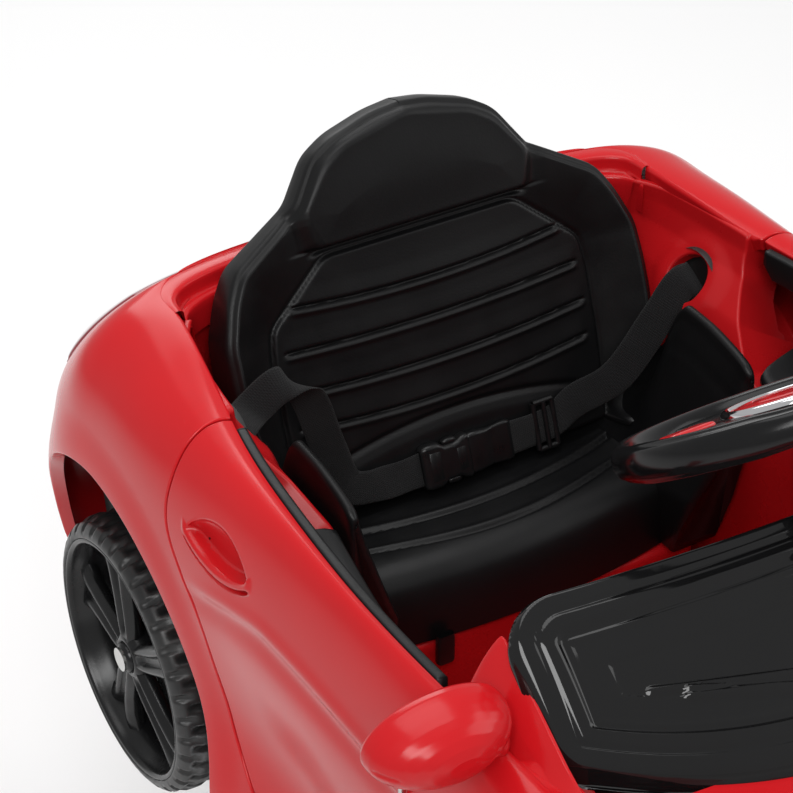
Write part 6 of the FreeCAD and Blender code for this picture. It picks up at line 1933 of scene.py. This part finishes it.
# grille: a black frame with honeycomb relief, set into the nose
gu = np.linspace(U_MID - hq * 0.42, U_MID + hq * 0.42, 221)
gv = np.linspace(0.12, 0.44, 121)
GU, GV = np.meshgrid(gu, gv, indexing="ij")
gp_ = BODY.at(GU, GV)
gn_ = BODY.normal(GU, GV) * SGN
sx2, sz2 = gp_[..., 0], gp_[..., 2]
e_ = np.minimum(np.minimum(np.arange(221), 220 - np.arange(221))[:, None] * 1.9, np.minimum(np.arange(121), 120 - np.arange(121))[None, :] * 0.65)
cell = 13.0
qx, qz = sx2 / cell, sz2 / (cell * 0.866)


def hexd(x, z):
    best = np.full(x.shape, 1e9)
    sec_ = np.full(x.shape, 1e9)
    r0_ = np.floor(z)
    for dr in (-1, 0, 1, 2):
        rr = r0_ + dr
        off = 0.5 * (rr % 2)
        c0_ = np.floor(x - off)
        for dc in (-1, 0, 1, 2):
            d_ = np.hypot(x - (c0_ + dc + off), (z - rr) * 0.866)
            sec_ = np.where(d_ < best, best, np.minimum(sec_, d_))
            best = np.minimum(best, d_)
    return sec_ - best


hx_ = hexd(qx, qz)
inner = smooth(7.0, 9.5, e_)
rel = 3.2 * smooth(0, 2.4, e_) * (1 - inner) + inner * (0.4 + 2.4 * smooth(0.26, 0.14, hx_))
gt = gp_ + gn_ * rel[..., None]
M = Mesh()
M.grid(gt)
M.grid(np.array([edge_ring(gt), edge_ring(gp_ - gn_ * 1.0)]), cv=True)
M.out("grille_panel", TRIM, "car", slot="trim_black", recalc=True, replaces=("grille",))


# ------------------------------------------------------------------ materials of the parts carried over from the CAD model
CAD_MAT = {"base_chrome": BASE_CHROME, "pump_paint": PUMP, "piston_chrome": CHROME, "steel": STEEL, "rubber_black": RUBBER, "frame_paint": PUMP, "body_red": RED,
           "chassis_black": TRAY, "seat_black": SEAT, "webbing": RUBBER, "buckle_black": BUCKLE, "screen_black": SCREEN, "trim_black": TRIM, "lining_black": LINING,
           "lens_red": LENS_RED, "lens_clear": LENS_CLEAR, "button_red": BUTTON, "mirror_face": MIRROR, "tyre_black": TYRE, "rim_black": RIM}
for nm_, o_ in N.items():
    for sl in o_.material_slots:
        if sl.material is None:
            continue
        key = sl.material.name
        for k_, mt in CAD_MAT.items():
            if key == k_ or key.startswith(k_ + "."):
                sl.material = mt


# ------------------------------------------------------------------ floor, light, camera
def stage_floor():
    me = bpy.data.meshes.new("floor")
    n = 60.0
    me.from_pydata([(-n, -n, 0), (n, -n, 0), (n, n, 0), (-n, n, 0)], [], [(0, 1, 2, 3)])
    m, nt, b = new_mat("floor_pale")
    nt.links.new(mixcol(nt, remap(nt, noise(nt, 1.2, 2.0), 0, 1), (0.90, 0.90, 0.90), (0.885, 0.885, 0.885)), b.inputs["Base Color"])
    b.inputs["Roughness"].default_value = 0.85
    b.inputs["Specular IOR Level"].default_value = 0.1
    me.materials.append(m)
    o = bpy.data.objects.new("floor", me)
    bpy.context.scene.collection.objects.link(o)


stage_floor()


def area(name, loc, target, size, power, size_y=None, color=(1, 1, 1)):
    d = bpy.data.lights.new(name, "AREA")
    d.energy = power
    d.size = size
    if size_y:
        d.shape = "RECTANGLE"
        d.size_y = size_y
    d.color = color
    o = bpy.data.objects.new(name, d)
    bpy.context.scene.collection.objects.link(o)
    o.location = loc
    o.rotation_euler = (Vector(target) - Vector(loc)).to_track_quat("-Z", "Y").to_euler()
    return o


area("key", (-1.6, -2.2, 3.2), (0, 0, 0.5), 1.8, 60, 1.4)
area("fill", (2.6, -1.2, 2.4), (0, 0, 0.5), 2.0, 22, 2.0)
area("top", (0.0, 0.5, 3.6), (0, 0, 0.5), 2.4, 40, 2.4)
area("back", (0.6, 2.8, 2.2), (0, 0, 0.6), 1.8, 22, 1.2)
world = bpy.data.worlds.new("studio")
bpy.context.scene.world = world
world.use_nodes = True
bg = world.node_tree.nodes["Background"]
bg.inputs[0].default_value = (1.0, 1.0, 1.0, 1)
bg.inputs[1].default_value = 0.50

cam = bpy.data.cameras.new("camera")
cam.lens = 105.96
cam.sensor_width = 36.0
cam.clip_end = 100
co = bpy.data.objects.new("camera", cam)
bpy.context.scene.collection.objects.link(co)
co.location = (-0.733, -0.894, 1.504)
co.rotation_euler = Vector((0.419, 0.7027, -0.575)).to_track_quat("-Z", "Y").to_euler()
bpy.context.scene.camera = co
bpy.context.scene.view_settings.view_transform = "Standard"
